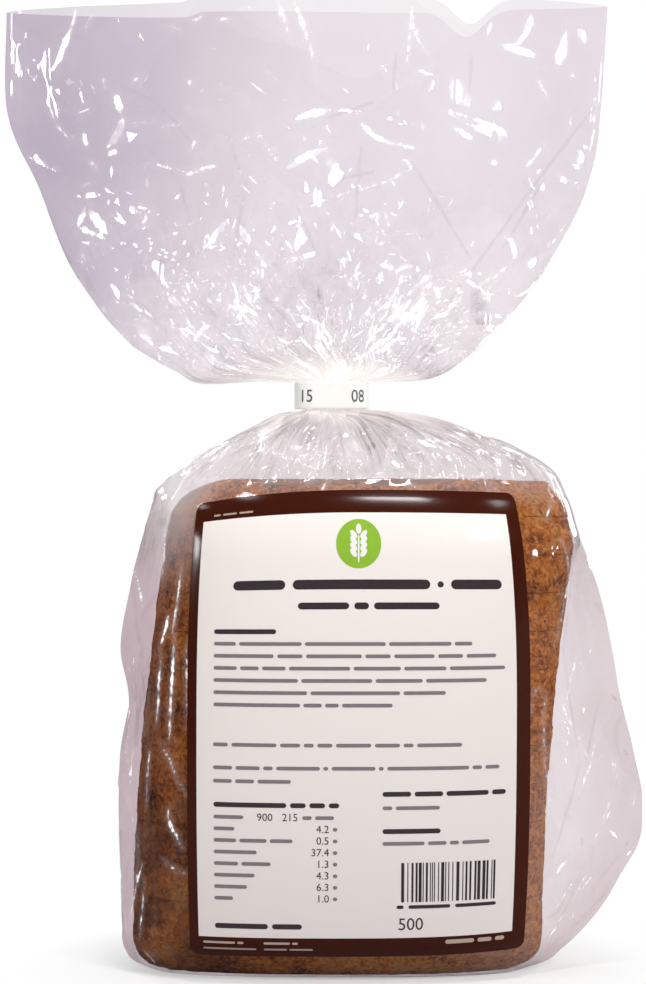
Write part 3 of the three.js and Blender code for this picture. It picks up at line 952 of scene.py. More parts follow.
def label_sheet(paper, border):
    """The label's front, back and cut edge, with the border's faces in their own material."""
    half_w, half_h = LABEL_WIDTH / 2, LABEL_HEIGHT / 2
    low_x, high_x = -half_w + BORDER_LEFT, half_w - BORDER_RIGHT
    low_z, high_z = -half_h + BORDER_BOTTOM, half_h - BORDER_TOP

    def spread(inner_low, inner_high, half):
        inner = np.linspace(inner_low, inner_high, int((inner_high - inner_low) / 1.6) + 1)
        corner = LABEL_CORNER * (1 - np.cos(np.linspace(0, math.pi / 2, 7)))
        low, high = corner - half, (half - corner)[::-1]
        return np.concatenate([low[low < inner_low - 0.2], inner, high[high > inner_high + 0.2]])

    xx, zz = np.meshgrid(spread(low_x, high_x, half_w), spread(low_z, high_z, half_h))
    into = np.maximum(0, LABEL_CORNER - (half_h - np.abs(zz)))
    edge = half_w - LABEL_CORNER + np.sqrt(np.maximum(0, LABEL_CORNER**2 - into**2))
    xx = np.clip(xx, -edge, edge)
    rows, columns = xx.shape
    size = rows * columns
    front, back = label_surface(xx, zz), label_surface(xx, zz, -LABEL_THICK)
    quads = np.array(sheet_faces(rows, columns))
    rim = list(range(columns)) + [r * columns + columns - 1 for r in range(1, rows)]
    rim += [(rows - 1) * columns + c for c in range(columns - 2, -1, -1)]
    rim += [r * columns for r in range(rows - 2, 0, -1)]
    faces = quads.tolist() + (quads[:, ::-1] + size).tolist()
    faces += [[b, a, a + size, b + size] for a, b in zip(rim, rim[1:] + rim[:1])]
    points = np.concatenate([front.reshape(-1, 3), back.reshape(-1, 3)])
    piece = mesh_object("label_sheet", points, faces, [paper, border])
    flat_x, flat_z = xx.ravel()[quads].mean(axis=1), zz.ravel()[quads].mean(axis=1)
    index = np.zeros(len(piece.data.polygons), int)
    index[: len(quads)] = (flat_x < low_x) | (flat_x > high_x) | (flat_z < low_z) | (flat_z > high_z)
    piece.data.polygons.foreach_set("material_index", index)
    return finished(piece, "label")


def from_corner(right, down):
    """Label coordinates of a place in the print."""
    return right + PRINT_LEFT, PRINT_TOP - down


class Print:
    """Flat shapes printed on the label, gathered into one mesh for each ink."""

    def __init__(self, lift):
        self.points = []
        self.faces = []
        self.lift = lift

    def add(self, flat, faces):
        start = sum(len(p) for p in self.points)
        flat = np.asarray(flat, float)
        self.points.append(label_surface(flat[:, 0], flat[:, 1], self.lift))
        self.faces += [[start + i for i in face] for face in faces]

    def bar(self, left, top, width, height, step=2.5):
        """A rectangle by its top left corner, in strips narrow enough to follow the curve."""
        columns = max(2, math.ceil(width / step) + 1)
        rows = max(2, math.ceil(height / step) + 1)
        x0, z0 = from_corner(left, top)
        xx, zz = np.meshgrid(np.linspace(x0, x0 + width, columns), np.linspace(z0 - height, z0, rows))
        self.add(np.stack([xx.ravel(), zz.ravel()], axis=1), sheet_faces(rows, columns))

    def disc(self, right, down, half_width, half_height, turn=0.0, rings=1, sides=24):
        """An ellipse about a place on the label, leaning by turn."""
        x0, z0 = from_corner(right, down)
        angle = np.arange(sides) * 2 * math.pi / sides
        flat, faces = [[x0, z0]], []
        for ring in range(1, rings + 1):
            share = ring / rings
            u = share * half_width * np.cos(angle)
            v = share * half_height * np.sin(angle)
            flat += np.stack([
                x0 + u * math.cos(turn) - v * math.sin(turn),
                z0 + u * math.sin(turn) + v * math.cos(turn),
            ], axis=1).tolist()
        for i in range(sides):
            after = (i + 1) % sides
            faces.append([0, 1 + i, 1 + after])
            for ring in range(1, rings):
                low, high = 1 + (ring - 1) * sides, 1 + ring * sides
                faces.append([low + i, high + i, high + after, low + after])
        self.add(flat, faces)

    def words(self, left, middle, right, height, lengths):
        """A line of plain dashes, one for each word, with the words' lengths in letters."""
        unit = (right - left) / (sum(lengths) + 0.7 * (len(lengths) - 1))
        at = left
        for letters in lengths:
            self.dash(at, middle, letters * unit, height)
            at += (letters + 0.7) * unit

    def dash(self, left, middle, width, height):
        """A bar with round ends."""
        r = min(height, width) / 2
        x0, z0 = from_corner(left, middle)
        steps = max(2, math.ceil((width - 2 * r) / 2.5) + 1)
        upper = [(x0 + r - r * math.cos(a), r * math.sin(a)) for a in np.linspace(0.2, math.pi / 2, 4)]
        upper += [(x, r) for x in np.linspace(x0 + r, x0 + width - r, steps)[1:]]
        upper += [(x0 + width - r + r * math.sin(a), r * math.cos(a)) for a in np.linspace(0, 1.37, 4)[1:]]
        flat = [(x, z0 - up) for x, up in upper] + [(x, z0 + up) for x, up in upper]
        self.add(flat, sheet_faces(2, len(upper)))

    def digits(self, text, right, middle, size):
        """A plain number that ends at a place."""
        flat, faces = digit_shapes(text, size, "RIGHT")
        x0, z0 = from_corner(right, middle)
        self.add(flat + [x0, z0], faces)

    def piece(self, name, material):
        points = np.concatenate(self.points)
        return finished(mesh_object(name, points, self.faces, [material]), "label")


def digit_shapes(text, size, align):
    """The filled outlines of a number, flat."""
    curve = bpy.data.curves.new("digits", "FONT")
    curve.body = text
    curve.size = size
    curve.resolution_u = 4
    curve.align_x = align
    curve.align_y = "CENTER"
    holder = bpy.data.objects.new("digits", curve)
    bpy.context.scene.collection.objects.link(holder)
    bpy.context.view_layer.update()
    shapes = bpy.data.meshes.new_from_object(holder.evaluated_get(bpy.context.evaluated_depsgraph_get()))
    flat = np.array([vertex.co[:2] for vertex in shapes.vertices])
    faces = [list(face.vertices) for face in shapes.polygons]
    bpy.data.objects.remove(holder)
    bpy.data.curves.remove(curve)
    return flat, faces


def bold_print(ink):
    """Headings as plain dashes, the numbers and the striped field."""
    art = Print(INK_LIFT)
    for line in HEADING_LINES:
        art.words(*line)
    art.digits("500", 71.6, 134.6, 5.4)
    art.digits("900", 24.9, TABLE_TOP, TABLE_DIGITS)
    art.digits("215", 32.7, TABLE_TOP, TABLE_DIGITS)
    for row, (_, _, value) in enumerate(TABLE_ROWS, 1):
        art.digits(value, TABLE_VALUE_END, TABLE_TOP + TABLE_STEP * row, TABLE_DIGITS)
    stripes(art)
    return art.piece("label_headings", ink)


def fine_print(ink):
    """Running text as plain dashes, and a small table."""
    art = Print(INK_LIFT)
    for row, (end, lengths) in enumerate(PARAGRAPH):
        art.words(MARGIN, PARAGRAPH_TOP + PARAGRAPH_STEP * row, end, FINE_HEIGHT, lengths)
    for left, down, end, lengths in FINE_LINES:
        art.words(left, down, end, FINE_HEIGHT, lengths)
    art.words(MARGIN, TABLE_TOP, 15.8, FINE_HEIGHT, (7,))
    art.words(34.0, TABLE_TOP, 43.8, FINE_HEIGHT, (2, 4))
    for row, (end, lengths, _) in enumerate(TABLE_ROWS, 1):
        down = TABLE_TOP + TABLE_STEP * row
        art.words(MARGIN, down, end, FINE_HEIGHT, lengths)
        art.words(TABLE_VALUE_END + 1.1, down, TABLE_VALUE_END + 2.5, FINE_HEIGHT, (1,))
    return art.piece("label_fine_print", ink)


def stripes(art):
    """Plain upright stripes with a row of dashes beneath."""
    rng = np.random.default_rng(5)
    at = STRIPES_LEFT
    while at < STRIPES_RIGHT - STRIPE:
        width = STRIPE * rng.integers(1, 4)
        art.bar(at, STRIPES_TOP, width, STRIPES_HEIGHT)
        at += width + STRIPE * rng.integers(1, 4)
    art.words(STRIPES_LEFT - 1.4, STRIPES_TOP + STRIPES_HEIGHT + 1.5, STRIPES_RIGHT - 0.4, 1.1, (1, 6, 6))


def emblem(green, white):
    """A round green badge with an ear of grain."""
    badge = Print(INK_LIFT)
    badge.disc(BADGE_RIGHT, BADGE_DOWN, *BADGE_HALF_SIZE, rings=4, sides=48)
    grain = Print(SECOND_INK_LIFT)
    grain.bar(BADGE_RIGHT - 0.25, BADGE_DOWN - 2.5, 0.5, 8.2)
    grain.disc(BADGE_RIGHT, BADGE_DOWN - 4.6, 0.85, 1.6)
    for pair in range(4):
        lower = BADGE_DOWN - 2.9 + 1.9 * pair
        for way in (-1, 1):
            grain.disc(BADGE_RIGHT + way * 1.55, lower, 0.8, 1.5, turn=-way * 0.6)
    return [badge.piece("label_badge", green), grain.piece("label_badge_grain", white)]


def border_print(pale):
    """Small pale dashes on the brown border."""
    art = Print(INK_LIFT)
    for line in BORDER_LINES:
        art.words(*line)
    return art.piece("label_border_print", pale)


# Closure band.

def band_route(grow, spacing=0.7):
    """Points along the strip, starting and ending behind, and lapped there."""
    a, b, r = BAND_HALF_WIDTH - grow, BAND_HALF_DEPTH - grow, BAND_CORNER - grow
    corners = [(a - r, b - r, 0), (-a + r, b - r, 1), (-a + r, -b + r, 2), (a - r, -b + r, 3)]
    loop = []
    for cx, cy, quarter in corners:
        for k in range(9):
            angle = (quarter + k / 8) * math.pi / 2
            loop.append((cx + r * math.cos(angle), cy + r * math.sin(angle)))
    loop = np.array(loop + loop[:1])
    lengths = np.append(0, np.cumsum(np.linalg.norm(np.diff(loop, axis=0), axis=1)))
    total = lengths[-1]
    behind = (lengths[8] + lengths[9]) / 2
    lap = 5.4
    at = np.arange(behind - lap, behind + total + lap, spacing)
    x = np.interp(at % total, lengths, loop[:, 0])
    y = np.interp(at % total, lengths, loop[:, 1])
    return x, y, at - (behind - lap), total


def closure_band(material):
    """A flat strip wound once round the neck, its outer end lapped over its inner end behind."""
    x, y, along, total = band_route(BAND_WALL / 2)
    outward = BAND_WALL * smoothstep(along, total - 4, total + 1)
    tangent = np.stack([np.gradient(x), np.gradient(y)], axis=1)
    tangent /= np.linalg.norm(tangent, axis=1, keepdims=True)
    normal = np.stack([tangent[:, 1], -tangent[:, 0]], axis=1)
    thickness = np.where(along > total - 5, 0.8, 0.9) * 0.5 * BAND_WALL
    rings = []
    profile = [(-1, 0.06), (-1, 0.94), (-0.7, 1.0), (0.7, 1.0), (1, 0.94), (1, 0.06), (0.7, 0.0), (-0.7, 0.0)]
    for k in range(len(x)):
        ring = []
        for sideways, up in profile:
            offset = sideways * thickness[k] + outward[k]
            ring.append([
                NECK_X + x[k] + normal[k, 0] * offset,
                y[k] + normal[k, 1] * offset,
                BAND_BOTTOM + BAND_HEIGHT * up,
            ])
        rings.append(ring)
    points = np.array(rings)
    rows, columns = points.shape[:2]
    faces = tube_faces(rows, columns)
    faces.append(list(range(columns)))
    faces.append([(rows - 1) * columns + c for c in range(columns)][::-1])
    piece = mesh_object("closure_band_strip", points.reshape(-1, 3), faces, [material], smooth=False)
    face_out(piece)
    return finished(piece, "closure_band")


def face_out(piece):
    work = bmesh.new()
    work.from_mesh(piece.data)
    bmesh.ops.remove_doubles(work, verts=work.verts, dist=1e-7)
    bmesh.ops.recalc_face_normals(work, faces=work.faces)
    work.to_mesh(piece.data)
    work.free()


def band_digits(ink):
    """Plain numbers stamped on the band's front."""
    points, faces = [], []
    for text, centre in (("15", -8.2), ("08", 8.6)):
        flat, shapes = digit_shapes(text, 5.6, "CENTER")
        faces += [[len(points) + i for i in shape] for shape in shapes]
        points += [on_band(centre + x * 0.85, y + BAND_HEIGHT * 0.44) for x, y in flat]
    piece = mesh_object("band_digits", points, faces, [ink])
    return finished(piece, "closure_band")


def on_band(x, up):
    """A point on the band's front, x from its middle, following the corners."""
    flat = BAND_HALF_WIDTH - BAND_CORNER
    beyond = max(0.0, abs(x) - flat)
    angle = min(beyond / BAND_CORNER, math.pi / 2)
    out = BAND_CORNER + 0.04
    px = math.copysign(min(abs(x), flat) + out * math.sin(angle), x)
    py = -(BAND_HALF_DEPTH - BAND_CORNER) - out * math.cos(angle)
    return [NECK_X + px, py, BAND_BOTTOM + up]


# Node helpers, for materials and geometry alike.

def add(tree, kind, wires=None, **settings):
    """A node with its settings, and its inputs given as values or as sockets to link."""
    made = tree.nodes.new(kind)
    for key, value in settings.items():
        setattr(made, key, value)
    for key, value in (wires or {}).items():
        socket = made.inputs[key]
        if isinstance(value, bpy.types.NodeSocket):
            tree.links.new(value, socket)
        else:
            socket.default_value = value
    return made


def math_node(tree, operation, a, b=0.0, clamp=False):
    made = add(tree, "ShaderNodeMath", {0: a, 1: b}, operation=operation, use_clamp=clamp)
    return made.outputs[0]


def times(tree, a, b, clamp=False):
    return math_node(tree, "MULTIPLY", a, b, clamp)


def plus(tree, a, b, clamp=False):
    return math_node(tree, "ADD", a, b, clamp)


def noise(tree, place, scale, detail=2.0, roughness=0.5, distortion=0.0):
    return add(tree, "ShaderNodeTexNoise", {
        "Vector": place,
        "Scale": scale,
        "Detail": detail,
        "Roughness": roughness,
        "Distortion": distortion,
    }).outputs[0]


def cells(tree, place, scale, output="Distance"):
    return add(tree, "ShaderNodeTexVoronoi", {"Vector": place, "Scale": scale}).outputs[output]


def xyz(tree, vector):
    """A vector's three numbers."""
    return add(tree, "ShaderNodeSeparateXYZ", {0: vector}).outputs


def shifted(tree, vector, by):
    return add(tree, "ShaderNodeVectorMath", {0: vector, 1: by}, operation="ADD").outputs[0]


def lengthened(tree, vector, factor):
    return add(tree, "ShaderNodeVectorMath", {0: vector, "Scale": factor}, operation="SCALE").outputs[0]


def stretched(tree, vector, size):
    """Coordinates stretched along each axis."""
    return add(tree, "ShaderNodeVectorMath", {0: vector, 1: size}, operation="MULTIPLY").outputs[0]


def wandering(tree, place, scale, detail, reach):
    """Coordinates that wander by up to about reach, on noise of a scale."""
    wires = {"Vector": place, "Scale": scale, "Detail": detail}
    wander = add(tree, "ShaderNodeTexNoise", wires).outputs["Color"]
    return shifted(tree, place, lengthened(tree, wander, reach))


def bumped(tree, strength, distance, height):
    wires = {"Strength": strength, "Distance": distance, "Height": height}
    return add(tree, "ShaderNodeBump", wires).outputs[0]


def ramp(tree, value, stops):
    """A colour ramp over (position, colour) stops."""
    made = add(tree, "ShaderNodeValToRGB", {"Fac": value})
    elements = made.color_ramp.elements
    elements[0].position, elements[0].color = stops[0]
    elements[1].position, elements[1].color = stops[-1]
    for position, colour in stops[1:-1]:
        elements.new(position).color = colour
    return made.outputs["Color"]


def mix_colour(tree, share, a, b, blend="MIX"):
    made = add(tree, "ShaderNodeMix", {0: share, 6: a, 7: b}, data_type="RGBA", blend_type=blend)
    return made.outputs[2]


def mapped(tree, value, from_low, from_high, to_low=0.0, to_high=1.0):
    wires = {0: value, 1: from_low, 2: from_high, 3: to_low, 4: to_high}
    return add(tree, "ShaderNodeMapRange", wires, clamp=True).outputs[0]


def blank_material(name):
    material = bpy.data.materials.new(name)
    material.use_nodes = True
    tree = material.node_tree
    tree.nodes.clear()
    return material, tree, add(tree, "ShaderNodeOutputMaterial")


def new_group(name, inputs, outputs):
    """A shader group with the given sockets, and the sockets that its nodes link to."""
    group = bpy.data.node_groups.new(name, "ShaderNodeTree")
    for way, sockets in (("INPUT", inputs), ("OUTPUT", outputs)):
        for socket, kind in sockets.items():
            group.interface.new_socket(socket, in_out=way, socket_type="NodeSocket" + kind)
    return group, add(group, "NodeGroupInput").outputs, add(group, "NodeGroupOutput").inputs


def principled(tree, wires):
    return add(tree, "ShaderNodeBsdfPrincipled", wires)


def finish_surface(tree, output, wires):
    """Ends a material in one surface with these inputs."""
    tree.links.new(principled(tree, wires).outputs[0], output.inputs["Surface"])


def object_place(tree):
    return add(tree, "ShaderNodeTexCoord").outputs["Object"]


# Materials.

def facet_group():
    """Tips the normal of each cell its own way, so that the film reads as many small flat faces."""
    group, given, made = new_group(
        "film_facets",
        {"Place": "Vector", "Normal": "Vector", "Tilt": "Float"},
        {"Normal": "Vector", "Shade": "Float"},
    )
    centred = shifted(group, cells(group, given["Place"], 1.0, "Color"), (-0.5, -0.5, -0.5))
    parts = xyz(group, centred)
    odd = math_node(group, "ABSOLUTE", parts[0])
    odd = times(group, times(group, odd, odd), 5.0)
    tilt = times(group, plus(group, odd, 0.3), given["Tilt"])
    total = shifted(group, given["Normal"], lengthened(group, centred, tilt))
    normal = add(group, "ShaderNodeVectorMath", {0: total}, operation="NORMALIZE").outputs[0]
    group.links.new(normal, made["Normal"])
    # Shade: a random value per cell, for painting facet shading into the tint.
    group.links.new(parts[1], made["Shade"])
    return group


def sliver_group():
    """Tapered slivers strewn over the flat film, for painted glints: 1 on a sliver and 0 beside it."""
    group, given, made = new_group(
        "film_glint_slivers",
        {"Flat": "Vector", "Turn": "Float", "Cells": "Vector", "Share": "Float", "Size": "Float"},
        {"Mask": "Float"},
    )
    turned = add(group, "ShaderNodeVectorRotate", {
        "Vector": given["Flat"],
        "Angle": given["Turn"],
    }, rotation_type="Z_AXIS").outputs[0]
    cell = add(group, "ShaderNodeTexVoronoi", {
        "Vector": stretched(group, turned, given["Cells"]),
        "Scale": 1.0,
    }, voronoi_dimensions="2D", distance="MANHATTAN")
    lot = xyz(group, cell.outputs["Color"])
    reach = times(group, mapped(group, lot[0], 0.0, 1.0, 0.25, 1.0), given["Size"])
    inside = math_node(group, "SUBTRACT", reach, cell.outputs["Distance"])
    ragged = mapped(group, noise(group, given["Flat"], 900.0, 2.0), 0.3, 0.7, -0.09, 0.09)
    inside = mapped(group, plus(group, inside, ragged), 0.0, 0.12)
    drawn = math_node(group, "LESS_THAN", lot[1], given["Share"])
    strength = mapped(group, lot[2], 0.0, 0.7, 0.3, 1.0)
    group.links.new(times(group, times(group, inside, drawn), strength), made["Mask"])
    return group


def painted_glint_mask(tree, flat, looks, inside):
    """Painted glints: creases that shine white, and small slivers between them."""
    bent = wandering(tree, flat, 22.0, 1.0, 0.01)
    clusters = mapped(tree, noise(tree, flat, 42.0, 2.0), 0.42, 0.56)
    share = times(tree, looks["spark"], clusters)
    ragged = mapped(tree, noise(tree, flat, 420.0, 3.0), 0.25, 0.75, -0.55, 0.4)
    total = mapped(tree, plus(tree, looks["crease"], ragged), 0.0, 0.55)
    fading = mapped(tree, noise(tree, flat, 130.0, 2.0), 0.4, 0.56, 0.3, 1.0)
    total = times(tree, total, fading)
    slivers = sliver_group()
    for turn, cell_size, most, size in PAINTED_GLINT_SLIVERS:
        one = add(tree, "ShaderNodeGroup", {
            "Flat": bent,
            "Turn": turn,
            "Cells": cell_size,
            "Share": times(tree, share, most),
            "Size": size,
        }, node_tree=slivers)
        total = math_node(tree, "MAXIMUM", total, one.outputs[0])
    return times(tree, total, mapped(tree, inside, 0.0, 1.0, *PAINTED_GLINT_SHINE))


def crumpled_normal(tree, warped, flat, looks):
    """The film's normal, tipped facet by facet and streaked along the bag, and the facets' shades."""
    facets = facet_group()
    normal = add(tree, "ShaderNodeNewGeometry").outputs["Normal"]
    shades = []
    for turn, size, tilt in FACETS:
        where = add(tree, "ShaderNodeMapping", {"Vector": warped, "Rotation": turn, "Scale": size}).outputs[0]
        tip = add(tree, "ShaderNodeGroup", {
            "Place": where,
            "Normal": normal,
            "Tilt": times(tree, looks["crumple"], tilt),
        }, node_tree=facets)
        normal = tip.outputs["Normal"]
        shades.append(tip.outputs["Shade"])
    normal = add(tree, "ShaderNodeBump", {
        "Strength": looks["streak"],
        "Distance": 0.0022,
        "Height": noise(tree, stretched(tree, flat, STREAK_CELLS), 1.0, 3.0, 0.55, 0.6),
        "Normal": normal,
    }).outputs[0]
    return normal, shades


def film_tint(tree, place, warped, flat, looks, shades, facing):
    """The colour the film gives to what is behind it: lilac where it lies double, painted shade in folds."""
    cloud = mapped(tree, noise(tree, place, 16.0, 3.0), 0.3, 0.7, -0.12, 0.12)
    # Each facet's random shade and the broad cells lighten or darken the tint: painted facet shading.
    painted_facet_shade = times(tree, plus(tree, shades[0], shades[1]), looks["crumple"])
    broad = mapped(tree, xyz(tree, cells(tree, warped, 26.0, "Color"))[0], 0.0, 1.0, -0.07, 0.07)
    depth = plus(tree, plus(tree, looks["tone"], cloud), broad)
    depth = plus(tree, depth, times(tree, painted_facet_shade, 0.1), clamp=True)
    upper = mapped(tree, xyz(tree, place)[2], 0.15, 0.2)
    tint = mix_colour(tree, depth, FILM_SINGLE, mix_colour(tree, upper, FILM_DOUBLE_BELOW, FILM_DOUBLE_ABOVE))
    tint = mix_colour(tree, mapped(tree, facing, 0.55, 1.0, 0.0, 0.15), tint, FILM_EDGE_ON)
    # Darker along the listed folds: painted shade.
    ragged = mapped(tree, noise(tree, flat, 260.0, 2.0), 0.3, 0.7, -0.3, 0.1)
    painted_fold_shade = mapped(tree, plus(tree, looks["fold"], ragged), -0.5, 0.3, 0.0, 0.55)
    tint = mix_colour(tree, painted_fold_shade, tint, FILM_FOLD_SHADE)
    return mix_colour(tree, times(tree, looks["glue"], 0.5), tint, FILM_GATHERED)


def film_haze(tree, flat, looks, bright):
    """How much white the film shows: its own haze, streaks along it, and painted glints with a faint painted
    halo.
    """
    veil = noise(tree, stretched(tree, flat, VEIL_CELLS), 1.0, 4.0, 0.6, 0.5)
    veil = mapped(tree, veil, 0.54, 0.8, 0.0, 0.16)
    haze = plus(tree, looks["haze"], times(tree, veil, looks["streak"]))
    halo = mapped(tree, looks["crease"], -1.5, 0.3, 0.0, 0.1)
    return plus(tree, plus(tree, haze, halo), bright)


def film_material():
    """Clear crisp film: tinted where seen through, bright where a facet throws back a light or a glint is
    painted.
    """
    material, tree, output = blank_material("clear_film")
    place = object_place(tree)
    flat = add(tree, "ShaderNodeUVMap", uv_map="flat").outputs[0]
    looks = {}
    for name in ("crumple", "tone", "haze", "streak", "glue", "spark", "crease", "fold", "cling"):
        looks[name] = add(tree, "ShaderNodeAttribute", attribute_name=name).outputs["Fac"]
    warped = wandering(tree, place, 40.0, 1.0, 0.012)
    normal, shades = crumpled_normal(tree, warped, flat, looks)

    inside = add(tree, "ShaderNodeNewGeometry").outputs["Backfacing"]
    ior = mapped(tree, inside, 0.0, 1.0, FILM_IOR, 1 / FILM_IOR)
    gloss = add(tree, "ShaderNodeFresnel", {"IOR": ior, "Normal": normal}).outputs[0]
    gloss = times(tree, gloss, mapped(tree, looks["cling"], 0.0, 1.0, *GLOSS_BY_CLING))
    facing = add(tree, "ShaderNodeLayerWeight", {"Blend": 0.35, "Normal": normal}).outputs["Facing"]
    bright = painted_glint_mask(tree, flat, looks, inside)
    opacity = plus(tree, gloss, film_haze(tree, flat, looks, bright), clamp=True)
    tint = film_tint(tree, place, warped, flat, looks, shades, facing)
    seen_through = add(tree, "ShaderNodeBsdfTransparent", {"Color": tint}).outputs[0]
    milky = mix_colour(tree, looks["glue"], FILM_BODY, FILM_BODY_NECK)
    # Base colour turns white and emission glows where glints are painted, and a painted glow lights the neck.
    surface = principled(tree, {
        "Base Color": mix_colour(tree, bright, milky, WHITE),
        "Metallic": math_node(tree, "DIVIDE", gloss, opacity, clamp=True),
        "Roughness": 0.07,
        "Emission Color": plus(tree, times(tree, bright, PAINTED_GLINT_GLOW), times(tree, looks["glue"], PAINTED_NECK_GLOW)),
        "Emission Strength": 1.0,
        "Normal": normal,
    }).outputs[0]
    mixed = add(tree, "ShaderNodeMixShader", {0: opacity, 1: seen_through, 2: surface}).outputs[0]
    tree.links.new(mixed, output.inputs["Surface"])
    return material


def crust_material():
    """Dark baked crust, orange brown where it is thin, pitted and flecked with bran."""
    material, tree, output = blank_material("dark_crust")
    place = object_place(tree)
    across, _, up = xyz(tree, place)
    fine = noise(tree, place, 340.0, 6.0, 0.75)
    grit = noise(tree, place, 760.0, 3.0, 0.62)
    uneven = wandering(tree, place, 300.0, 2.0, 0.004)
    pits = cells(tree, uneven, 250.0)
    flecks = cells(tree, uneven, 560.0)
    colour = ramp(tree, noise(tree, place, 95.0, 6.0, 0.68), CRUST_SHADES)

    def laid_over(share, shade, blend="MIX"):
        return mix_colour(tree, share, colour, shade, blend)

    colour = laid_over(mapped(tree, fine, 0.52, 0.68, 0.0, 0.45), srgb(112, 56, 22))
    colour = laid_over(mapped(tree, fine, 0.46, 0.36, 0.0, 0.55), srgb(250, 186, 104))
    colour = laid_over(mapped(tree, grit, 0.5, 0.36, 0.0, 0.6), GRIT_SHADE, "MULTIPLY")
    colour = laid_over(mapped(tree, grit, 0.54, 0.68, 0.0, 0.6), srgb(255, 196, 122))
    # Greyer and duller low down: painted shade where the crust turns down, away from the light.
    painted_low_shade = mapped(tree, noise(tree, place, 95.0, 4.0, 0.7), 0.5, 0.7)
    colour = laid_over(times(tree, painted_low_shade, mapped(tree, up, 0.1, 0.0, 0.1, 0.5)), srgb(176, 136, 108))
    # Darker towards the lower left: partly a deeper bake, partly painted shade away from the key light.
    to_left = mapped(tree, across, 0.0, -0.06, 0.0, 1.0)
    patchy = mapped(tree, noise(tree, place, 38.0, 4.0, 0.65), 0.38, 0.6, 1.3, 0.4)
    low_down = mapped(tree, up, 0.14, 0.05, 0.12, 0.95)
    deep = times(tree, to_left, times(tree, patchy, low_down), clamp=True)
    colour = laid_over(deep, DEEP_BAKE_AND_SHADE, "MULTIPLY")
    # Darker in the pits: painted shade in the hollows.
    colour = laid_over(mapped(tree, pits, 0.26, 0.1, 0.0, 0.4), srgb(88, 42, 16))
    colour = laid_over(mapped(tree, flecks, 0.2, 0.1, 0.0, 0.3), srgb(78, 38, 16))
    height = plus(tree, plus(tree, fine, times(tree, pits, 0.9)), times(tree, grit, 0.6))
    finish_surface(tree, output, {
        "Base Color": colour,
        "Specular IOR Level": 0.2,
        "Roughness": mapped(tree, fine, 0.3, 0.7, 0.62, 0.9),
        "Normal": bumped(tree, 1.0, 0.003, height),
    })
    return material


def crumb_material():
    """Coarse moist crumb of the cut faces, with small holes."""
    material, tree, output = blank_material("coarse_crumb")
    place = object_place(tree)
    holes = cells(tree, place, 260.0)
    grain = noise(tree, place, 160.0, 6.0, 0.7)
    # Darker in the holes: painted shade.
    in_hole = mapped(tree, holes, 0.3, 0.12)
    height = plus(tree, holes, times(tree, grain, 0.5))
    finish_surface(tree, output, {
        "Base Color": mix_colour(tree, in_hole, ramp(tree, grain, CRUMB_SHADES), CRUMB_HOLE_SHADE),
        "Roughness": 0.85,
        "Normal": bumped(tree, 0.8, 0.0015, height),
    })
    return material


def seed_material():
    material, tree, output = blank_material("seeds")
    colour = ramp(tree, noise(tree, object_place(tree), 90.0, 1.0), SEED_SHADES)
    finish_surface(tree, output, {"Base Color": colour, "Roughness": 0.5})
    return material


def paper_material():
    """Glossy label paper, warm white, with a faint fibre and a soft waviness."""
    material, tree, output = blank_material("label_paper")
    place = object_place(tree)
    # Lighter towards the top, darker towards the bottom: painted light from above.
    upward = mapped(tree, xyz(tree, place)[2], 0.01, 0.15)
    finish_surface(tree, output, {
        "Base Color": mix_colour(tree, upward, PAPER_SHADED_BELOW, PAPER_LIT_ABOVE),
        "Specular IOR Level": 0.15,
        "Roughness": mapped(tree, noise(tree, place, 500.0, 3.0), 0.3, 0.7, 0.1, 0.15),
        "Normal": bumped(tree, 0.12, 0.002, noise(tree, place, 22.0, 1.0)),
    })
    return material


def ink_material(name, colour):
    """Printed ink, a little uneven in depth."""
    material, tree, output = blank_material(name)
    shade = mapped(tree, noise(tree, object_place(tree), 700.0, 3.0), 0.3, 0.7, 0.0, 0.12)
    uneven = mix_colour(tree, shade, colour, WHITE, "SOFT_LIGHT")
    finish_surface(tree, output, {"Base Color": uneven, "Roughness": 0.13, "Specular IOR Level": 0.15})
    return material


def band_material():
    """White plastic with a faint bloom."""
    material, tree, output = blank_material("band_plastic")
    place = object_place(tree)
    shade = mapped(tree, noise(tree, place, 90.0, 2.0), 0.3, 0.7)
    finish_surface(tree, output, {
        "Base Color": mix_colour(tree, shade, *BAND_SHADES),
        "Roughness": 0.42,
        "Subsurface Weight": 0.2,
        "Subsurface Radius": (0.002, 0.002, 0.0015),
        "Normal": bumped(tree, 0.15, 0.0004, noise(tree, place, 260.0, 3.0)),
    })
    return material


# Relief and seeds of the loaf, in metres.

BAKING = {"Swell": 0.0011, "Pore Depth": 0.0016, "Seeds Per Square Metre": 5200.0, "Seed Length": 0.0011}


def random_vector(tree, lowest, highest, seed):
    wires = {0: lowest, 1: highest, "Seed": seed}
    return add(tree, "FunctionNodeRandomValue", wires, data_type="FLOAT_VECTOR").outputs[0]


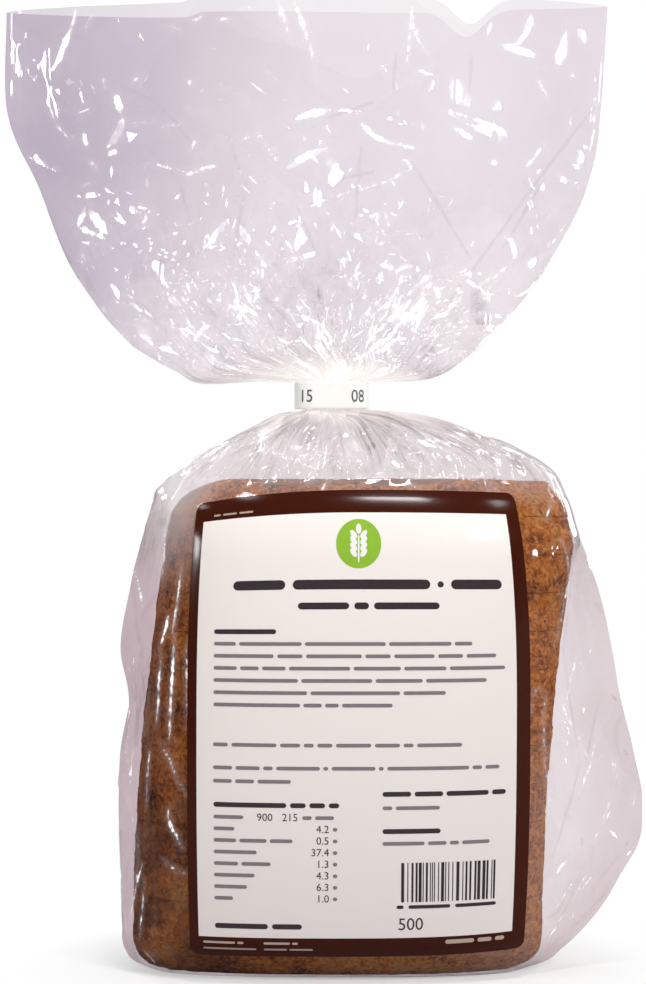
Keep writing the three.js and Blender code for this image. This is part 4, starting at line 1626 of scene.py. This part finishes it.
def baked_tree(seed_look):
    """Geometry nodes: roughens the slices, opens pores in them and strews seeds over the crust."""
    tree = bpy.data.node_groups.new("baked_slices", "GeometryNodeTree")
    face = tree.interface
    face.new_socket("Slices", in_out="INPUT", socket_type="NodeSocketGeometry")
    for name, value in BAKING.items():
        face.new_socket(name, in_out="INPUT", socket_type="NodeSocketFloat").default_value = value
    face.new_socket("Slices", in_out="OUTPUT", socket_type="NodeSocketGeometry")
    given = add(tree, "NodeGroupInput").outputs
    place = add(tree, "GeometryNodeInputPosition").outputs[0]
    normal = add(tree, "GeometryNodeInputNormal").outputs[0]
    swell = math_node(tree, "SUBTRACT", noise(tree, place, 120.0, 4.0, 0.65), 0.62)
    swell = times(tree, times(tree, swell, 2.0), given["Swell"])
    pores = mapped(tree, cells(tree, place, 200.0), 0.36, 0.1)
    patches = mapped(tree, noise(tree, place, 50.0, 1.0), 0.35, 0.55)
    pores = times(tree, times(tree, pores, patches), given["Pore Depth"])
    crumb = add(tree, "GeometryNodeInputNamedAttribute", {"Name": "crumb"}, data_type="FLOAT").outputs[0]
    move = math_node(tree, "SUBTRACT", swell, pores)
    move = times(tree, move, mapped(tree, crumb, 0.0, 1.0, 1.0, 0.05))
    rough = add(tree, "GeometryNodeSetPosition", {
        "Geometry": given["Slices"],
        "Offset": lengthened(tree, normal, move),
    })
    on_crust = math_node(tree, "LESS_THAN", crumb, 0.01)
    strewn_seeds = add(tree, "GeometryNodeDistributePointsOnFaces", {
        "Mesh": rough.outputs[0],
        "Selection": on_crust,
        "Density": given["Seeds Per Square Metre"],
        "Seed": 11,
    })
    kernel = add(tree, "GeometryNodeMeshIcoSphere", {"Radius": given["Seed Length"], "Subdivisions": 1})
    size = random_vector(tree, (0.5, 0.28, 0.16), (1.1, 0.5, 0.3), 4)
    spin = random_vector(tree, (0, 0, 0), (0, 0, 6.28), 9)
    turned = add(tree, "FunctionNodeRotateRotation", {
        0: strewn_seeds.outputs["Rotation"],
        1: spin,
    }, rotation_space="LOCAL").outputs[0]
    placed = add(tree, "GeometryNodeInstanceOnPoints", {
        "Points": strewn_seeds.outputs["Points"],
        "Instance": kernel.outputs["Mesh"],
        "Rotation": turned,
        "Scale": size,
    })
    real = add(tree, "GeometryNodeRealizeInstances", {0: placed.outputs[0]}).outputs[0]
    seeds = add(tree, "GeometryNodeSetMaterial", {"Geometry": real, "Material": seed_look}).outputs[0]
    joined = add(tree, "GeometryNodeJoinGeometry")
    tree.links.new(seeds, joined.inputs[0])
    tree.links.new(rough.outputs[0], joined.inputs[0])
    made = add(tree, "NodeGroupOutput")
    tree.links.new(joined.outputs[0], made.inputs[0])
    return tree


def with_nodes(piece, tree):
    """The piece's mesh after a geometry tree, with the modifier gone."""
    modifier = piece.modifiers.new(tree.name, "NODES")
    modifier.node_group = tree
    bpy.context.view_layer.update()
    graph = bpy.context.evaluated_depsgraph_get()
    evaluated = piece.evaluated_get(graph)
    mesh = bpy.data.meshes.new_from_object(evaluated, preserve_all_data_layers=True, depsgraph=graph)
    piece.modifiers.remove(modifier)
    piece.data = mesh
    return piece


def baked_loaf():
    crust, crumb = crust_material(), crumb_material()
    piece = loaf([crust, crumb])
    layer = piece.data.attributes["crumb"].data
    on_face = np.zeros(len(layer), np.float32)
    layer.foreach_get("value", on_face)
    index = [int(min(on_face[v] for v in face.vertices) > 0.5) for face in piece.data.polygons]
    piece.data.polygons.foreach_set("material_index", index)
    with_nodes(piece, baked_tree(seed_material()))
    piece.data.polygons.foreach_set("use_smooth", [True] * len(piece.data.polygons))
    piece.data.set_sharp_from_angle(angle=math.radians(60))
    return finished(piece, "bag")


# Studio.

def studio_floor():
    """A wide white floor that blends into the white surroundings."""
    half = FLOOR_HALF_SIZE / MM
    points = [[x * half, y * half, FLOOR_Z] for x, y in ((-1, -1), (1, -1), (1, 1), (-1, 1))]
    material, tree, output = blank_material("studio_paper")
    seen = add(tree, "ShaderNodeLightPath").outputs["Is Camera Ray"]
    from_bag = shifted(tree, object_place(tree), (-0.01, 0.0, 0.0))
    distance = add(tree, "ShaderNodeVectorMath", {0: from_bag}, operation="LENGTH").outputs["Value"]
    far = mapped(tree, distance, 0.065, 0.11, 0.45, 1.0)
    shade = mix_colour(tree, seen, (0.5, 0.5, 0.5, 1.0), (0.93, 0.93, 0.93, 1.0))
    paper = principled(tree, {"Base Color": shade, "Roughness": 0.9, "Specular IOR Level": 0.0}).outputs[0]
    glow = add(tree, "ShaderNodeEmission", {"Color": WHITE, "Strength": 1.0}).outputs[0]
    both = add(tree, "ShaderNodeMixShader", {0: times(tree, seen, far), 1: paper, 2: glow}).outputs[0]
    tree.links.new(both, output.inputs["Surface"])
    mesh_object("studio_floor", points, [[0, 1, 2, 3]], [material])


def surroundings():
    """White to the camera, a dim room for light, and in reflections bright but for the camera's side."""
    world = bpy.data.worlds.new("studio")
    world.use_nodes = True
    tree = world.node_tree
    tree.nodes.clear()
    path = add(tree, "ShaderNodeLightPath").outputs
    towards = xyz(tree, add(tree, "ShaderNodeTexCoord").outputs["Generated"])
    mirrored = mapped(tree, towards[1], -0.2, 1.0, 0.22, 0.78)
    strength = add(tree, "ShaderNodeMix", {0: path["Is Glossy Ray"], 2: ROOM_LIGHT, 3: mirrored}).outputs[0]
    strength = add(tree, "ShaderNodeMix", {0: path["Is Camera Ray"], 2: strength, 3: 1.0}).outputs[0]
    glow = add(tree, "ShaderNodeBackground", {"Color": WHITE, "Strength": strength})
    output = add(tree, "ShaderNodeOutputWorld")
    tree.links.new(glow.outputs[0], output.inputs["Surface"])
    bpy.context.scene.world = world


def softbox(name, azimuth, elevation, width, height, radiance, lights_all=True):
    """A soft box that the camera doesn't see, by its place round the bag; some only glint in the film."""
    azimuth, elevation = math.radians(azimuth), math.radians(elevation)
    lamp = bpy.data.lights.new(name, "AREA")
    lamp.shape = "RECTANGLE"
    lamp.size = width
    lamp.size_y = height
    lamp.energy = radiance * width * height * math.pi
    holder = bpy.data.objects.new(name, lamp)
    out = Vector((
        math.sin(azimuth) * math.cos(elevation),
        -math.cos(azimuth) * math.cos(elevation),
        math.sin(elevation),
    ))
    holder.location = Vector((0, 0, SOFTBOX_AIM)) + out * SOFTBOX_DISTANCE
    holder.rotation_euler = (-out).to_track_quat("-Z", "Y").to_euler()
    holder.visible_camera = False
    holder.visible_diffuse = lights_all
    bpy.context.scene.collection.objects.link(holder)


def lights():
    for box in SOFTBOXES:
        softbox(*box)
    for index, place in enumerate(GLINTS):
        softbox("glint_{}".format(index), *place, GLINT_SIZE, GLINT_SIZE, GLINT_RADIANCE, lights_all=False)


def camera():
    """Level with the middle of the bag, straight in front of it."""
    data = bpy.data.cameras.new("camera")
    data.sensor_width = 36.0
    data.lens = CAMERA_LENS
    holder = bpy.data.objects.new("camera", data)
    holder.location = (0, -CAMERA_DISTANCE, CAMERA_HEIGHT)
    holder.rotation_euler = (math.pi / 2, 0, 0)
    bpy.context.scene.collection.objects.link(holder)
    bpy.context.scene.camera = holder


def main():
    camera()
    surroundings()
    lights()
    studio_floor()
    film = film_material()
    body_film(film)
    mouth_film(film)
    baked_loaf()
    brown = ink_material("brown_ink", srgb(60, 20, 6))
    label_sheet(paper_material(), brown)
    bold_print(ink_material("dark_ink", srgb(58, 50, 54)))
    fine_print(ink_material("grey_ink", srgb(128, 118, 122)))
    emblem(ink_material("green_ink", srgb(142, 186, 58)), ink_material("white_ink", srgb(243, 240, 234)))
    border_print(ink_material("pale_ink", srgb(178, 158, 148)))
    closure_band(band_material())
    band_digits(ink_material("stamp_ink", srgb(84, 90, 80)))
    bpy.context.scene.view_settings.view_transform = "Standard"
    bpy.context.scene.cycles.transparent_max_bounces = 24


main()
